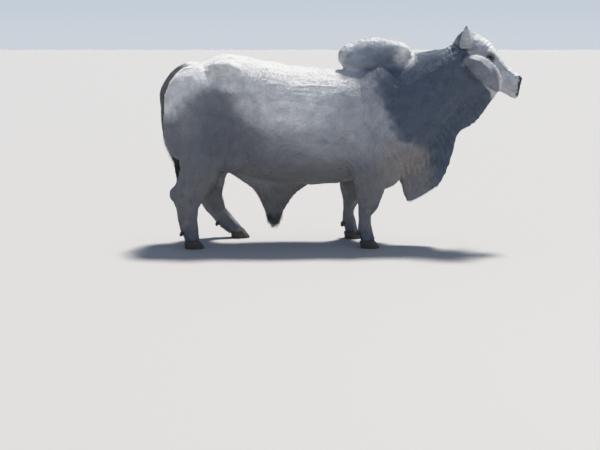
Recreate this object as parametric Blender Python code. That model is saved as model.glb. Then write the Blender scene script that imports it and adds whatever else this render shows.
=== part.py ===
"""A grey Brahman bull standing square with its head up, life size, as a museum shows it.

Metres, +X towards the muzzle, +Y to the bull's left, +Z up. The bull is modelled standing on the floor
with its backbone over the X axis, and is moved at the end so that the origin is on the floor under the
middle of its box. The flesh is one fused mesh, parted into named pieces by thin cuts.
"""

import math
from collections import namedtuple

import bmesh
import bpy
import numpy as np
from mathutils import Matrix, Vector

# Driving dimensions
HIP_HEIGHT = 1.488
HUMP_TOP = 1.448
CUT = 0.0004  # gap between two pieces that meet
VOXEL = 0.013  # grain of the fused flesh
BODY_TRIANGLES = 2180
HEAD_TRIANGLES = 960
BLEND_PASSES = 9  # how often the fused flesh is smoothed

# The head is modelled along its own axis, from the back of the skull, and then placed
HEAD_AT = Vector((1.218, 0.0, 1.502))
HEAD_DROP = math.radians(30)
HEAD_YAW = math.radians(-7.5)  # it looks a little to its right
HEAD = Matrix.Translation(HEAD_AT) @ Matrix.Rotation(HEAD_YAW, 4, "Z") @ Matrix.Rotation(HEAD_DROP, 4, "Y")

EYE_RADIUS = 0.021
EYE_AT = (0.243, 0.108, 0.082)  # along the head, out to the side, up

# Feet: each hoof is two claws, with two small dewclaws behind the fetlock
SOLE_LENGTH = 0.150
SOLE_AHEAD = 0.012  # how far the sole's middle is ahead of the foot's
SOLE_BEVEL = 0.96  # size of the sole against the wall just above it
CLAW_WIDTH = 0.060
OUTER_SHARE = 0.62  # share of a claw's width that is outside its middle line
TOE_TAPER = 0.42
TOE_SLOPE = 0.78  # how far the wall leans back for each metre up, at the toe and at the heel
HEEL_SLOPE = 0.16
WALL_SLOPE = 0.9  # how much narrower the claw gets for each metre up
CLEFT = 0.008
CORONET_HEIGHT = 0.062
CORONET_SLOPE = 0.20
FOOT_REACH = 0.2
DEWCLAW_SIZE = (0.017, 0.015, 0.024)
DEWCLAW_HEIGHT = 0.118
DEWCLAW_SPREAD = 0.028
DEWCLAW_TILT = 30
FORE_FETLOCK = -0.052  # how far behind the middle of the leg the dewclaws are
HIND_FETLOCK = -0.058
RIGHT = -1
LEFT = 1
SIDES = {"right": RIGHT, "left": LEFT}

Section = namedtuple("Section", "at top bottom half_width waist crown keel lean")

# Upright sections of the trunk and neck: waist is where the widest point is between bottom and top,
# crown and keel say how square the upper and lower halves are
TRUNK = (
    Section(-1.020, 1.195, 1.000, 0.060, 0.55, 2.0, 2.0, 0),
    Section(-0.980, 1.258, 0.910, 0.125, 0.60, 2.1, 2.0, 0),
    Section(-0.910, 1.352, 0.810, 0.180, 0.62, 2.1, 2.0, 0),
    Section(-0.810, 1.406, 0.700, 0.220, 0.64, 2.2, 2.0, 0),
    Section(-0.700, 1.454, 0.620, 0.252, 0.66, 2.4, 2.1, 0),
    Section(-0.580, HIP_HEIGHT, 0.565, 0.272, 0.64, 2.6, 2.2, 0),
    Section(-0.430, 1.468, 0.522, 0.288, 0.55, 2.5, 2.2, 0),
    Section(-0.290, 1.436, 0.495, 0.316, 0.50, 2.4, 2.2, 0),
    Section(-0.100, 1.403, 0.474, 0.344, 0.48, 2.3, 2.2, 0),
    Section(0.100, 1.380, 0.466, 0.350, 0.48, 2.2, 2.2, 0),
    Section(0.300, 1.363, 0.478, 0.332, 0.48, 2.2, 2.2, 0),
    Section(0.450, 1.370, 0.505, 0.308, 0.48, 2.1, 2.2, 0),
    Section(0.600, 1.402, 0.508, 0.288, 0.50, 2.0, 2.2, 0),
    Section(0.750, 1.442, 0.500, 0.264, 0.50, 1.9, 2.1, 0),
    Section(0.880, 1.488, 0.590, 0.232, 0.50, 1.9, 2.1, 0),
    Section(1.000, 1.512, 0.740, 0.202, 0.50, 1.9, 2.0, 0),
    Section(1.100, 1.526, 0.880, 0.182, 0.50, 1.9, 2.0, 0),
    Section(1.180, 1.548, 0.990, 0.166, 0.52, 2.0, 2.0, 0),
    Section(1.260, 1.565, 1.070, 0.146, 0.54, 2.0, 2.0, 0),
    Section(1.340, 1.530, 1.120, 0.118, 0.55, 2.0, 2.0, 0),
    Section(1.410, 1.420, 1.150, 0.088, 0.55, 2.0, 2.0, 0),
)

# Sections of the head along its axis, heights from the axis
SKULL = (
    Section(-0.060, 0.128, -0.050, 0.080, 0.60, 2.0, 2.0, 0),
    Section(-0.028, 0.174, -0.110, 0.100, 0.66, 2.3, 2.0, 0),
    Section(0.030, 0.186, -0.140, 0.108, 0.70, 2.6, 2.0, 0),
    Section(0.100, 0.191, -0.150, 0.114, 0.72, 2.8, 2.0, 0),
    Section(0.165, 0.187, -0.144, 0.120, 0.72, 2.8, 2.0, 0),
    Section(0.225, 0.172, -0.132, 0.117, 0.70, 2.7, 2.0, 0),
    Section(0.292, 0.142, -0.118, 0.098, 0.64, 2.4, 2.1, 0.05),
    Section(0.366, 0.109, -0.106, 0.081, 0.58, 2.3, 2.2, 0.16),
    Section(0.432, 0.098, -0.098, 0.077, 0.52, 2.4, 2.3, 0.28),
    Section(0.490, 0.094, -0.094, 0.085, 0.50, 2.5, 2.4, 0.38),
    Section(0.536, 0.088, -0.084, 0.085, 0.48, 2.5, 2.4, 0.42),
    Section(0.560, 0.060, -0.058, 0.066, 0.48, 2.2, 2.2, 0.42),
)

# The dewlap is a thick fold of skin from the chin to between the forelegs, narrow from the front
DEWLAP = (
    Section(0.775, 0.800, 0.560, 0.050, 0.70, 2.0, 2.0, 0),
    Section(0.805, 0.800, 0.420, 0.046, 0.70, 2.0, 2.0, 0),
    Section(0.840, 0.820, 0.322, 0.044, 0.75, 2.0, 2.0, 0),
    Section(0.890, 0.840, 0.322, 0.042, 0.80, 2.0, 2.0, 0),
    Section(0.935, 0.880, 0.348, 0.040, 0.80, 2.0, 2.0, 0),
    Section(0.985, 0.920, 0.378, 0.038, 0.80, 2.0, 2.0, 0),
    Section(1.060, 0.990, 0.424, 0.038, 0.80, 2.0, 2.0, 0),
    Section(1.120, 1.050, 0.484, 0.038, 0.80, 2.0, 2.0, 0),
    Section(1.165, 1.100, 0.570, 0.036, 0.80, 2.0, 2.0, 0),
    Section(1.205, 1.140, 0.720, 0.034, 0.80, 2.0, 2.0, 0),
    Section(1.245, 1.180, 0.865, 0.034, 0.80, 2.0, 2.0, 0),
    Section(1.330, 1.240, 0.915, 0.034, 0.80, 2.0, 2.0, 0),
    Section(1.395, 1.280, 0.970, 0.034, 0.80, 2.0, 2.0, 0),
    Section(1.440, 1.300, 1.035, 0.032, 0.80, 2.0, 2.0, 0),
    Section(1.490, 1.300, 1.100, 0.030, 0.70, 2.0, 2.0, 0),
    Section(1.540, 1.300, 1.180, 0.024, 0.60, 2.0, 2.0, 0),
)

# The sheath hangs from the navel as a deep fold with a thick lip at its lowest point
SHEATH = (
    Section(-0.520, 0.600, 0.530, 0.030, 0.6, 2.0, 2.0, 0),
    Section(-0.440, 0.600, 0.470, 0.040, 0.6, 2.0, 2.0, 0),
    Section(-0.355, 0.600, 0.410, 0.048, 0.6, 2.0, 2.0, 0),
    Section(-0.295, 0.600, 0.290, 0.054, 0.5, 2.0, 2.0, 0),
    Section(-0.255, 0.600, 0.195, 0.056, 0.4, 2.0, 2.0, 0),
    Section(-0.210, 0.600, 0.152, 0.056, 0.3, 2.0, 2.0, 0),
    Section(-0.160, 0.600, 0.180, 0.054, 0.4, 2.0, 2.0, 0),
    Section(-0.105, 0.600, 0.285, 0.050, 0.5, 2.0, 2.0, 0),
    Section(-0.030, 0.600, 0.390, 0.044, 0.6, 2.0, 2.0, 0),
    Section(0.060, 0.600, 0.455, 0.036, 0.6, 2.0, 2.0, 0),
    Section(0.140, 0.600, 0.520, 0.028, 0.6, 2.0, 2.0, 0),
)

# Muscles and bony points: middle, half sizes, tilt about Y and splay about X in degrees
Bulge = namedtuple("Bulge", "centre radii tilt splay", defaults=(0.0, 0.0))
MIDDLE_BULGES = (
    Bulge((0.560, 0, HUMP_TOP), (0.235, 0.120, 0.168), -4),
    Bulge((0.415, 0, HUMP_TOP + 0.012), (0.125, 0.100, 0.106), 14),
    Bulge((0.722, -0.022, HUMP_TOP + 0.034), (0.143, 0.104, 0.112), 10),
    Bulge((0.80, 0, 0.78), (0.19, 0.160, 0.26), 16),  # breast
    Bulge((1.02, 0, 1.17), (0.16, 0.170, 0.30), 20),  # neck
    Bulge((1.33, 0.01, 1.27), (0.13, 0.105, 0.15), 30),  # throat
    Bulge((-0.830, 0, 1.376), (0.100, 0.060, 0.048), 12),  # root of the tail
    Bulge((-0.655, 0.0, 0.520), (0.075, 0.078, 0.115), 8),  # scrotum
    Bulge((-0.660, 0.0, 0.620), (0.060, 0.050, 0.110)),
    Bulge((-0.955, RIGHT * 0.250, 0.418), (0.054, 0.036, 0.066), 12),  # points of the hocks
    Bulge((-0.812, LEFT * 0.250, 0.392), (0.050, 0.036, 0.066), -14),
)
PAIRED_BULGES = (
    Bulge((0.580, 0.172, 1.120), (0.180, 0.120, 0.290), 14, 13),  # shoulder blade
    Bulge((0.690, 0.190, 0.880), (0.140, 0.098, 0.170), -10, -6),  # point of the shoulder
    Bulge((0.450, 0.222, 0.830), (0.180, 0.092, 0.200), -24, -3),  # upper foreleg
    Bulge((-0.780, 0.160, 1.040), (0.262, 0.158, 0.370), -8, 5),  # rump
    Bulge((-0.890, 0.158, 0.965), (0.162, 0.130, 0.300), 5),  # buttock
    Bulge((-0.640, 0.205, 0.840), (0.165, 0.112, 0.260), 16),  # thigh
    Bulge((-0.560, 0.185, 1.370), (0.130, 0.088, 0.072), 8, 14),  # point of the hip
    Bulge((-0.904, 0.104, 1.256), (0.070, 0.060, 0.078)),  # pin bone
    Bulge((-0.490, 0.192, 0.725), (0.170, 0.062, 0.125), -38),  # flank fold
    Bulge((0.625, 0.150, 0.615), (0.175, 0.096, 0.170), 20),  # fold from the breast to the foreleg
)
HEAD_BULGES = (
    Bulge((0.225, 0.088, 0.106), (0.072, 0.042, 0.044), 12),  # brow
    Bulge((0.150, 0.066, -0.036), (0.115, 0.046, 0.100), 14),  # cheek
    Bulge((0.506, 0.042, 0.050), (0.040, 0.040, 0.036)),  # nostril wing
    Bulge((0.310, 0.060, 0.026), (0.085, 0.034, 0.046), 16),  # side of the nose
    Bulge((0.040, 0.078, 0.060), (0.066, 0.054, 0.066)),  # root of the horn
    Bulge((0.040, 0.100, -0.024), (0.044, 0.040, 0.044)),  # root of the ear
    Bulge((0.540, 0, -0.068), (0.046, 0.056, 0.030)),  # chin
)
KNEE = Bulge((0.052, 0.221, 0.372), (0.066, 0.062, 0.062))  # measured from the forefoot
ELBOW = Bulge((-0.085, 0.235, 0.690), (0.060, 0.055, 0.065), 20)

# Limbs go down their bones: x, distance from the middle, z, half width, half depth
Joint = namedtuple("Joint", "x out z half_wide half_deep")
FORE = (
    Joint(0.08, 0.190, 0.95, 0.080, 0.160),
    Joint(0.01, 0.225, 0.76, 0.084, 0.155),
    Joint(0.02, 0.230, 0.63, 0.078, 0.144),
    Joint(0.032, 0.226, 0.53, 0.067, 0.130),
    Joint(0.030, 0.222, 0.455, 0.063, 0.114),
    Joint(0.026, 0.220, 0.395, 0.062, 0.102),
    Joint(0.020, 0.220, 0.345, 0.058, 0.092),
    Joint(0.006, 0.220, 0.298, 0.049, 0.068),
    Joint(-0.004, 0.220, 0.248, 0.045, 0.051),
    Joint(-0.005, 0.220, 0.190, 0.047, 0.050),
    Joint(0.0, 0.220, 0.140, 0.056, 0.062),
    Joint(0.012, 0.220, 0.100, 0.053, 0.056),
    Joint(0.022, 0.220, 0.065, 0.060, 0.056),
    Joint(0.028, 0.220, 0.025, 0.062, 0.056),
)
HIND_STRAIGHT = (
    Joint(-0.74, 0.200, 1.00, 0.120, 0.220),
    Joint(-0.73, 0.232, 0.80, 0.102, 0.205),
    Joint(-0.757, 0.244, 0.69, 0.088, 0.180),
    Joint(-0.768, 0.250, 0.60, 0.075, 0.154),
    Joint(-0.800, 0.250, 0.52, 0.064, 0.140),
    Joint(-0.838, 0.250, 0.445, 0.060, 0.132),
    Joint(-0.858, 0.250, 0.39, 0.057, 0.120),
    Joint(-0.867, 0.250, 0.335, 0.051, 0.102),
    Joint(-0.867, 0.250, 0.28, 0.048, 0.086),
    Joint(-0.862, 0.250, 0.21, 0.049, 0.079),
    Joint(-0.850, 0.250, 0.150, 0.058, 0.074),
    Joint(-0.838, 0.250, 0.105, 0.055, 0.064),
    Joint(-0.828, 0.250, 0.065, 0.060, 0.056),
    Joint(-0.822, 0.250, 0.025, 0.062, 0.056),
)
HIND_FORWARD = (
    Joint(-0.72, 0.200, 1.00, 0.120, 0.220),
    Joint(-0.70, 0.232, 0.80, 0.102, 0.200),
    Joint(-0.705, 0.244, 0.67, 0.088, 0.172),
    Joint(-0.720, 0.250, 0.56, 0.074, 0.142),
    Joint(-0.732, 0.250, 0.48, 0.063, 0.130),
    Joint(-0.735, 0.250, 0.41, 0.058, 0.120),
    Joint(-0.724, 0.250, 0.34, 0.053, 0.106),
    Joint(-0.700, 0.250, 0.275, 0.050, 0.090),
    Joint(-0.662, 0.250, 0.208, 0.049, 0.075),
    Joint(-0.612, 0.250, 0.150, 0.056, 0.068),
    Joint(-0.560, 0.250, 0.100, 0.055, 0.060),
    Joint(-0.515, 0.250, 0.062, 0.060, 0.056),
    Joint(-0.492, 0.250, 0.025, 0.062, 0.056),
)
FORE_FOOT = {RIGHT: 0.506, LEFT: 0.400}
HIND_FOOT = {RIGHT: HIND_STRAIGHT, LEFT: HIND_FORWARD}

# Ear and horn run along these points of the head: along, out, up, half width, half thickness
EAR = (
    (0.050, 0.078, -0.036, 0.026, 0.018),
    (0.074, 0.122, -0.028, 0.033, 0.016),
    (0.122, 0.168, -0.012, 0.052, 0.010),
    (0.178, 0.200, -0.006, 0.072, 0.0070),
    (0.251, 0.214, -0.018, 0.080, 0.0065),
    (0.323, 0.218, -0.043, 0.071, 0.0065),
    (0.381, 0.214, -0.076, 0.047, 0.006),
    (0.419, 0.208, -0.104, 0.014, 0.005),
)
EAR_CURL = 0.30  # how far its middle bows outwards, as a share of its half width
HORN = (
    (0.066, 0.066, 0.024, 0.054),
    (0.053, 0.080, 0.048, 0.059),
    (0.033, 0.094, 0.077, 0.055),
    (0.004, 0.106, 0.124, 0.039),
    (-0.018, 0.112, 0.160, 0.024),
    (-0.032, 0.115, 0.186, 0.012),
    (-0.038, 0.116, 0.199, 0.006),
)
TAIL = (
    (-0.780, 0.000, 1.384, 0.040),
    (-0.862, 0.000, 1.382, 0.038),
    (-0.930, 0.002, 1.362, 0.034),
    (-0.988, 0.004, 1.315, 0.031),
    (-1.038, 0.008, 1.250, 0.028),
    (-1.072, 0.012, 1.172, 0.025),
    (-1.068, 0.018, 1.070, 0.022),
    (-1.069, 0.026, 0.935, 0.020),
    (-1.046, 0.036, 0.822, 0.018),
    (-1.006, 0.046, 0.730, 0.017),
    (-0.966, 0.052, 0.640, 0.016),
)
SWITCH = (
    (-0.990, 0.050, 0.682, 0.021),
    (-0.966, 0.053, 0.620, 0.027),
    (-0.950, 0.055, 0.540, 0.036),
    (-0.940, 0.056, 0.450, 0.037),
    (-0.935, 0.056, 0.360, 0.029),
    (-0.932, 0.056, 0.300, 0.012),
)

COAT_LIGHT = (0.52, 0.53, 0.54)
COAT_DARK = (0.13, 0.14, 0.155)
# The flesh is parted by these blocks in this order: name, planes as point and outward direction, and
# the two corners of the block's box
NAPE = ((1.149, 0, 1.60), (-0.968, 0, -0.249))
JAW = ((1.43, 0, 1.130), (-0.10, 0, -0.995))
UNDER_NECK = ((0.90, 0, 0.705), (-0.713, 0, 0.701))
HUMP_FOOT = ((0.33, 0, 1.376), (0.196, 0, -0.981))
SHOULDER = ((0.870, 0, 1.50), (-1.0, 0, 0.06))
BLOCKS = (
    ("head", (NAPE, JAW), ((1.0, -0.45, 0.9), (2.0, 0.45, 1.9))),
    ("dewlap", (UNDER_NECK,), ((0.79, -0.30, 0.30), (1.60, 0.30, 1.3))),
    ("hump", (HUMP_FOOT,), ((0.272, -0.30, 1.20), (0.868, 0.30, 1.9))),
    ("neck", (SHOULDER,), ((0.70, -0.40, 0.5), (1.7, 0.40, 1.9))),
    ("sheath", (), ((-0.56, -0.16, 0.1), (0.20, 0.16, 0.500))),
    ("scrotum", (), ((-0.80, -0.105, 0.3), (-0.50, 0.105, 0.600))),
)
OUTSIDE = 0.5  # beyond the bull's side
FORELEG_INNER = 0.085
FORELEG_REACH = (-0.28, 0.21)  # the block's back and front, measured from the forefoot
FORELEG_TOP = ((0, 0, 0.640), (-0.25, 0, 0.97))
HINDLEG_INNER = 0.106
HINDLEG_BACK = -1.20
HINDLEG_FRONT = 0.11  # ahead of the hind foot, if that is ahead of the flank
FLANK = -0.50
HINDLEG_TOP = ((-0.75, 0, 0.690), (0.20, 0, 0.98))

HORN_COLOUR = (0.085, 0.080, 0.075)
HOOF_COLOUR = (0.060, 0.056, 0.052)
EYE_COLOUR = (0.012, 0.009, 0.008)


def smooth_rows(rows, between):
    """Rows with more on a smooth curve through them, as a list of arrays."""
    fixed = [np.array(row, float) for row in rows]
    padded = [2 * fixed[0] - fixed[1], *fixed, 2 * fixed[-1] - fixed[-2]]
    found = []
    for before, start, end, after in zip(padded, padded[1:], padded[2:], padded[3:]):
        for step in range(between):
            t = step / between
            found.append(
                0.5
                * (
                    2 * start
                    + (end - before) * t
                    + (2 * before - 5 * start + 4 * end - after) * t**2
                    + (3 * start - before - 3 * end + after) * t**3
                )
            )
    return [*found, fixed[-1]]


def power(value, exponent):
    return math.copysign(abs(value) ** exponent, value)


def add_ring(bm, matrix, half_width, up, down, crown=2.0, keel=2.0, lean=0.0, bow=0.0, sides=28):
    """A closed loop in the matrix's YZ plane. Returns its edges and its vertices."""
    made = bmesh.ops.create_circle(bm, cap_ends=False, radius=1.0, segments=sides)["verts"]
    for index, vertex in enumerate(made):
        angle = math.tau * index / sides
        across, rise = math.cos(angle), math.sin(angle)
        shape = crown if rise > 0 else keel
        side = half_width * power(across, 2 / shape)
        height = (up if rise > 0 else down) * power(rise, 2 / shape)
        height += bow * (1 - (side / half_width) ** 2)
        vertex.co = matrix @ Vector((-lean * height, side, height))
    ring = set(made)
    return [e for e in {e for v in made for e in v.link_edges} if set(e.verts) <= ring], made


def loft(bm, rings):
    """Skins rings one after another and closes both ends."""
    for (first, _), (second, _) in zip(rings, rings[1:]):
        bmesh.ops.bridge_loops(bm, edges=first + second)
    for _, vertices in (rings[0], rings[-1]):
        bm.faces.new(vertices)
    bmesh.ops.triangulate(bm, faces=bm.faces, quad_method="FIXED")
    bmesh.ops.recalc_face_normals(bm, faces=bm.faces)


def add_sections(target, sections, place=None, between=3, sides=32):
    """A loft through upright sections, which face along X before they are placed."""
    place = place or Matrix.Identity(4)
    bm = bmesh.new()
    rings = []
    for row in smooth_rows(sections, between):
        s = Section(*row)
        middle = s.bottom + s.waist * (s.top - s.bottom)
        at = place @ Matrix.Translation((s.at, 0, middle))
        rings.append(
            add_ring(
                bm, at, s.half_width, s.top - middle, middle - s.bottom, s.crown, s.keel, s.lean, 0, sides
            )
        )
    loft(bm, rings)
    join(target, bm)


def along(points, index, side):
    """A frame at one point of a path: X along it, Y towards side as far as it can be."""
    ahead = points[min(index + 1, len(points) - 1)] - points[max(index - 1, 0)]
    ahead.normalize()
    up = ahead.cross(side).normalized()
    across = up.cross(ahead)
    frame = Matrix((ahead, across, up)).transposed().to_4x4()
    return Matrix.Translation(points[index]) @ frame


def add_tube(target, rows, across=Vector((0, 1, 0)), place=None, between=2, sides=20, bow=0.0, grow=0.0):
    """A loft along a path of x, y, z, half width and half depth, or one radius for both.

    grow makes it thicker and longer by that much all round.
    """
    place = place or Matrix.Identity(4)
    rows = smooth_rows(rows, between)
    points = [place @ Vector(row[:3]) for row in rows]
    side = place.to_3x3() @ across
    bm = bmesh.new()
    rings = []
    for index, row in enumerate(rows):
        half_wide, half_deep = row[3] + grow, (row[4] if len(row) > 4 else row[3]) + grow
        beyond = grow * ((index == len(rows) - 1) - (index == 0))
        at = along(points, index, side) @ Matrix.Translation((beyond, 0, 0))
        rings.append(add_ring(bm, at, half_wide, half_deep, half_deep, bow=bow * row[3], sides=sides))
    loft(bm, rings)
    join(target, bm)


def add_bulge(target, bulge, side=LEFT, place=None):
    """An ellipsoid, on the given side of the bull."""
    x, out, z = bulge.centre
    matrix = (
        (place or Matrix.Identity(4))
        @ Matrix.Translation((x, side * out, z))
        @ Matrix.Rotation(math.radians(side * bulge.splay), 4, "X")
        @ Matrix.Rotation(math.radians(bulge.tilt), 4, "Y")
        @ Matrix.Diagonal((*bulge.radii, 1))
    )
    bmesh.ops.create_icosphere(target, subdivisions=4, radius=1.0, matrix=matrix)


def join(target, bm):
    """Moves all of bm into target."""
    mesh = bpy.data.meshes.new("joined")
    bm.to_mesh(mesh)
    bm.free()
    target.from_mesh(mesh)
    bpy.data.meshes.remove(mesh)


def add_muscles(bm):
    for bulge in MIDDLE_BULGES:
        add_bulge(bm, bulge)
    for side in SIDES.values():
        for bulge in PAIRED_BULGES:
            add_bulge(bm, bulge, side)
        for bulge in HEAD_BULGES:
            add_bulge(bm, bulge, side, HEAD)


def limb_rows(joints, side, offset=0.0):
    return [(j.x + offset, side * j.out, j.z, j.half_wide, j.half_deep) for j in joints]


def add_limbs(bm):
    for side in SIDES.values():
        foot = FORE_FOOT[side]
        add_tube(bm, limb_rows(FORE, side, foot), between=3)
        for bulge in (KNEE, ELBOW):
            add_bulge(bm, bulge, side, Matrix.Translation((foot, 0, 0)))
        add_tube(bm, limb_rows(HIND_FOOT[side], side), between=3)


def mesh_object(name, bm):
    mesh = bpy.data.meshes.new(name)
    bm.to_mesh(mesh)
    bm.free()
    obj = bpy.data.objects.new(name, mesh)
    bpy.context.scene.collection.objects.link(obj)
    return obj


def settle(obj):
    """Puts an object's modifiers into its mesh."""
    graph = bpy.context.evaluated_depsgraph_get()
    mesh = bpy.data.meshes.new_from_object(obj.evaluated_get(graph))
    obj.modifiers.clear()
    spare, obj.data = obj.data, mesh
    bpy.data.meshes.remove(spare)
    return obj


def fused_flesh():
    """The whole bull without ears, tail, horns, eyes and hooves, as one closed mesh."""
    bm = bmesh.new()
    add_sections(bm, TRUNK)
    add_sections(bm, SKULL, HEAD)
    add_sections(bm, DEWLAP, sides=20)
    add_sections(bm, SHEATH, sides=20)
    add_muscles(bm)
    add_limbs(bm)
    flesh = mesh_object("flesh", bm)
    fuse = flesh.modifiers.new("fuse", "REMESH")
    fuse.mode = "VOXEL"
    fuse.voxel_size = VOXEL
    blend = flesh.modifiers.new("blend", "SMOOTH")
    blend.factor = 0.5
    blend.iterations = BLEND_PASSES
    settle(flesh)
    to_head = HEAD.inverted()
    local = [to_head @ v.co for v in flesh.data.vertices]
    on_head = {i for i, at in enumerate(local) if at.x > -0.05 and at.z > -0.2}
    body = [i for i in range(len(local)) if i not in on_head]
    flesh.vertex_groups.new(name="body").add(body, 1.0, "REPLACE")
    flesh.vertex_groups.new(name="face").add(list(on_head), 1.0, "REPLACE")
    faces = flesh.data.polygons
    head_faces = sum(1 for f in faces if f.vertices[0] in on_head)
    kept = 2 * head_faces + BODY_TRIANGLES
    thin(flesh, "body", kept / (2 * len(faces)))
    thin(flesh, "face", (HEAD_TRIANGLES + BODY_TRIANGLES) / kept)
    return flesh


def thin(obj, group, ratio):
    """Collapses edges of one vertex group only, until this share of all faces is left."""
    collapse = obj.modifiers.new("thin", "DECIMATE")
    collapse.vertex_group = group
    collapse.vertex_group_factor = 1000
    collapse.use_collapse_triangulate = True
    collapse.ratio = ratio
    settle(obj)


def solid(name, build, *arguments):
    bm = bmesh.new()
    build(bm, *arguments)
    return mesh_object(name, bm)


def ear(bm, side, grow=0.0):
    rows = [(a, side * out, up, half, thick) for a, out, up, half, thick in EAR]
    add_tube(bm, rows, Vector((0, 0, 1)), HEAD, sides=10, bow=-side * EAR_CURL, grow=grow)


def horn(bm, side, grow=0.0):
    rows = [(a, side * out, up, radius) for a, out, up, radius in HORN]
    add_tube(bm, rows, place=HEAD, between=1, sides=12, grow=grow)


def tail(bm, grow=0.0):
    add_tube(bm, TAIL, sides=8, grow=grow)


def switch(bm):
    add_tube(bm, SWITCH, sides=8)


def eye(bm, side, grow=0.0):
    x, out, z = EYE_AT
    at = HEAD @ Matrix.Translation((x, side * out, z))
    bmesh.ops.create_uvsphere(bm, u_segments=12, v_segments=8, radius=EYE_RADIUS + grow, matrix=at)


def combine(first, second, operation):
    """Changes first by a Boolean with second, and removes second."""
    change = first.modifiers.new(operation.lower(), "BOOLEAN")
    change.operation = operation
    change.solver = "EXACT"
    change.object = second
    settle(first)
    bpy.data.objects.remove(second)
    return first


def copy_of(obj, name):
    made = obj.copy()
    made.data = obj.data.copy()
    made.name = name
    bpy.context.scene.collection.objects.link(made)
    return made


def block(planes, reach):
    """A box round reach, given as two corners, cut down to the inner side of each plane.

    A plane is a point and the direction that points out of the block.
    """
    low, high = Vector(reach[0]), Vector(reach[1])
    bm = bmesh.new()
    matrix = Matrix.Translation((low + high) / 2) @ Matrix.Diagonal((*(high - low), 1))
    bmesh.ops.create_cube(bm, size=1.0, matrix=matrix)
    for point, out in planes:
        everything = [*bm.verts, *bm.edges, *bm.faces]
        bmesh.ops.bisect_plane(bm, geom=everything, plane_co=point, plane_no=out, clear_outer=True)
        bmesh.ops.holes_fill(bm, edges=[e for e in bm.edges if e.is_boundary], sides=0)
    bmesh.ops.recalc_face_normals(bm, faces=bm.faces)
    return mesh_object("block", bm)


def part_off(flesh, name, planes, reach):
    """Takes the flesh inside a block as a piece of its own, and leaves a thin gap round it."""
    shrunk = [(Vector(p) - CUT * Vector(n).normalized(), n) for p, n in planes]
    low, high = (Vector(corner) for corner in reach)
    inset = Vector((CUT, CUT, CUT))
    piece = combine(copy_of(flesh, name), block(shrunk, (low + inset, high - inset)), "INTERSECT")
    combine(flesh, block(planes, reach), "DIFFERENCE")
    return piece


def part_flesh(flesh):
    """Parts the flesh where a person would name its parts."""
    for name, planes, reach in BLOCKS:
        part_off(flesh, name, [(Vector(p), Vector(n)) for p, n in planes], reach)
    for name, side in SIDES.items():
        inner, outer = sorted((side * FORELEG_INNER, side * OUTSIDE))
        foot = FORE_FOOT[side]
        back, front = (foot + reach for reach in FORELEG_REACH)
        point, out = (Vector(row) for row in FORELEG_TOP)
        top = (point + Vector((foot, 0, 0)), out)
        part_off(flesh, f"foreleg_{name}", [top], ((back, inner, 0.0), (front, outer, 1.0)))
        inner, outer = sorted((side * HINDLEG_INNER, side * OUTSIDE))
        front = max(FLANK, HIND_FOOT[side][-1].x + HINDLEG_FRONT)
        top = tuple(Vector(row) for row in HINDLEG_TOP)
        part_off(flesh, f"hindleg_{name}", [top], ((HINDLEG_BACK, inner, 0.0), (front, outer, 1.0)))
    flesh.name = "trunk"


def coronet(x, lift=0.0):
    """The sloping plane between leg and hoof at one foot, as a point and its upward direction."""
    return Vector((x, 0, CORONET_HEIGHT + lift)), Vector((-CORONET_SLOPE, 0, 1)).normalized()


def claw(bm, x, y, turned):
    """One half of a cloven hoof. turned is the side, 1 or -1, of its curved outer wall."""
    rings = []
    for height, scale in ((0.0, SOLE_BEVEL), (0.004, 1.0), (0.030, 1.0), (None, 1.0)):
        made = bmesh.ops.create_circle(bm, cap_ends=False, radius=1.0, segments=12)["verts"]
        for index, vertex in enumerate(made):
            angle = math.tau * index / len(made)
            ahead, across = math.cos(angle), math.sin(angle)
            toe = max(0.0, ahead)
            share = OUTER_SHARE if across * turned > 0 else 1 - OUTER_SHARE
            width = CLAW_WIDTH * share * (1 - TOE_TAPER * toe**3)
            sole_x = SOLE_AHEAD + scale * power(ahead, 0.9) * SOLE_LENGTH / 2
            lean = HEEL_SLOPE + (TOE_SLOPE - HEEL_SLOPE) * toe
            z = height
            if height is None:  # the rim, where the wall meets the sloping plane
                z = (CORONET_HEIGHT + CORONET_SLOPE * sole_x) / (1 + CORONET_SLOPE * lean)
            side = scale * power(across, 0.8) * width * (1 - WALL_SLOPE * z)
            vertex.co = (x + sole_x - lean * z, y + side, z)
        ring = set(made)
        rings.append(([e for e in {e for v in made for e in v.link_edges} if set(e.verts) <= ring], made))
    loft(bm, rings)


def dewclaw(bm, x, y, grow=0.0):
    matrix = (
        Matrix.Translation((x, y, DEWCLAW_HEIGHT))
        @ Matrix.Rotation(math.radians(DEWCLAW_TILT), 4, "Y")
        @ Matrix.Diagonal((*(size + grow for size in DEWCLAW_SIZE), 1))
    )
    bmesh.ops.create_uvsphere(bm, u_segments=7, v_segments=4, radius=1.0, matrix=matrix)
    bmesh.ops.triangulate(bm, faces=bm.faces, quad_method="FIXED")


def add_foot(leg, x, y, behind, side):
    """Cuts a leg off above its hoof, and adds the hoof's claws and the dewclaws behind the fetlock."""
    for half in SIDES.values():
        label = "outer" if half == side else "inner"
        middle = y + half * (CLAW_WIDTH * (1 - OUTER_SHARE) + CLEFT / 2)
        solid(f"hoof_{leg}_{label}", claw, x, middle, half)
        place = (behind, y + half * DEWCLAW_SPREAD)
        sink(leg, dewclaw, *place)
        solid(f"dewclaw_{leg}_{label}", dewclaw, *place)
    low = (x - FOOT_REACH, y - FOOT_REACH, -FOOT_REACH)
    high = (x + FOOT_REACH, y + FOOT_REACH, FOOT_REACH)
    combine(bpy.data.objects[leg], block([coronet(x, CUT)], (low, high)), "DIFFERENCE")


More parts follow.
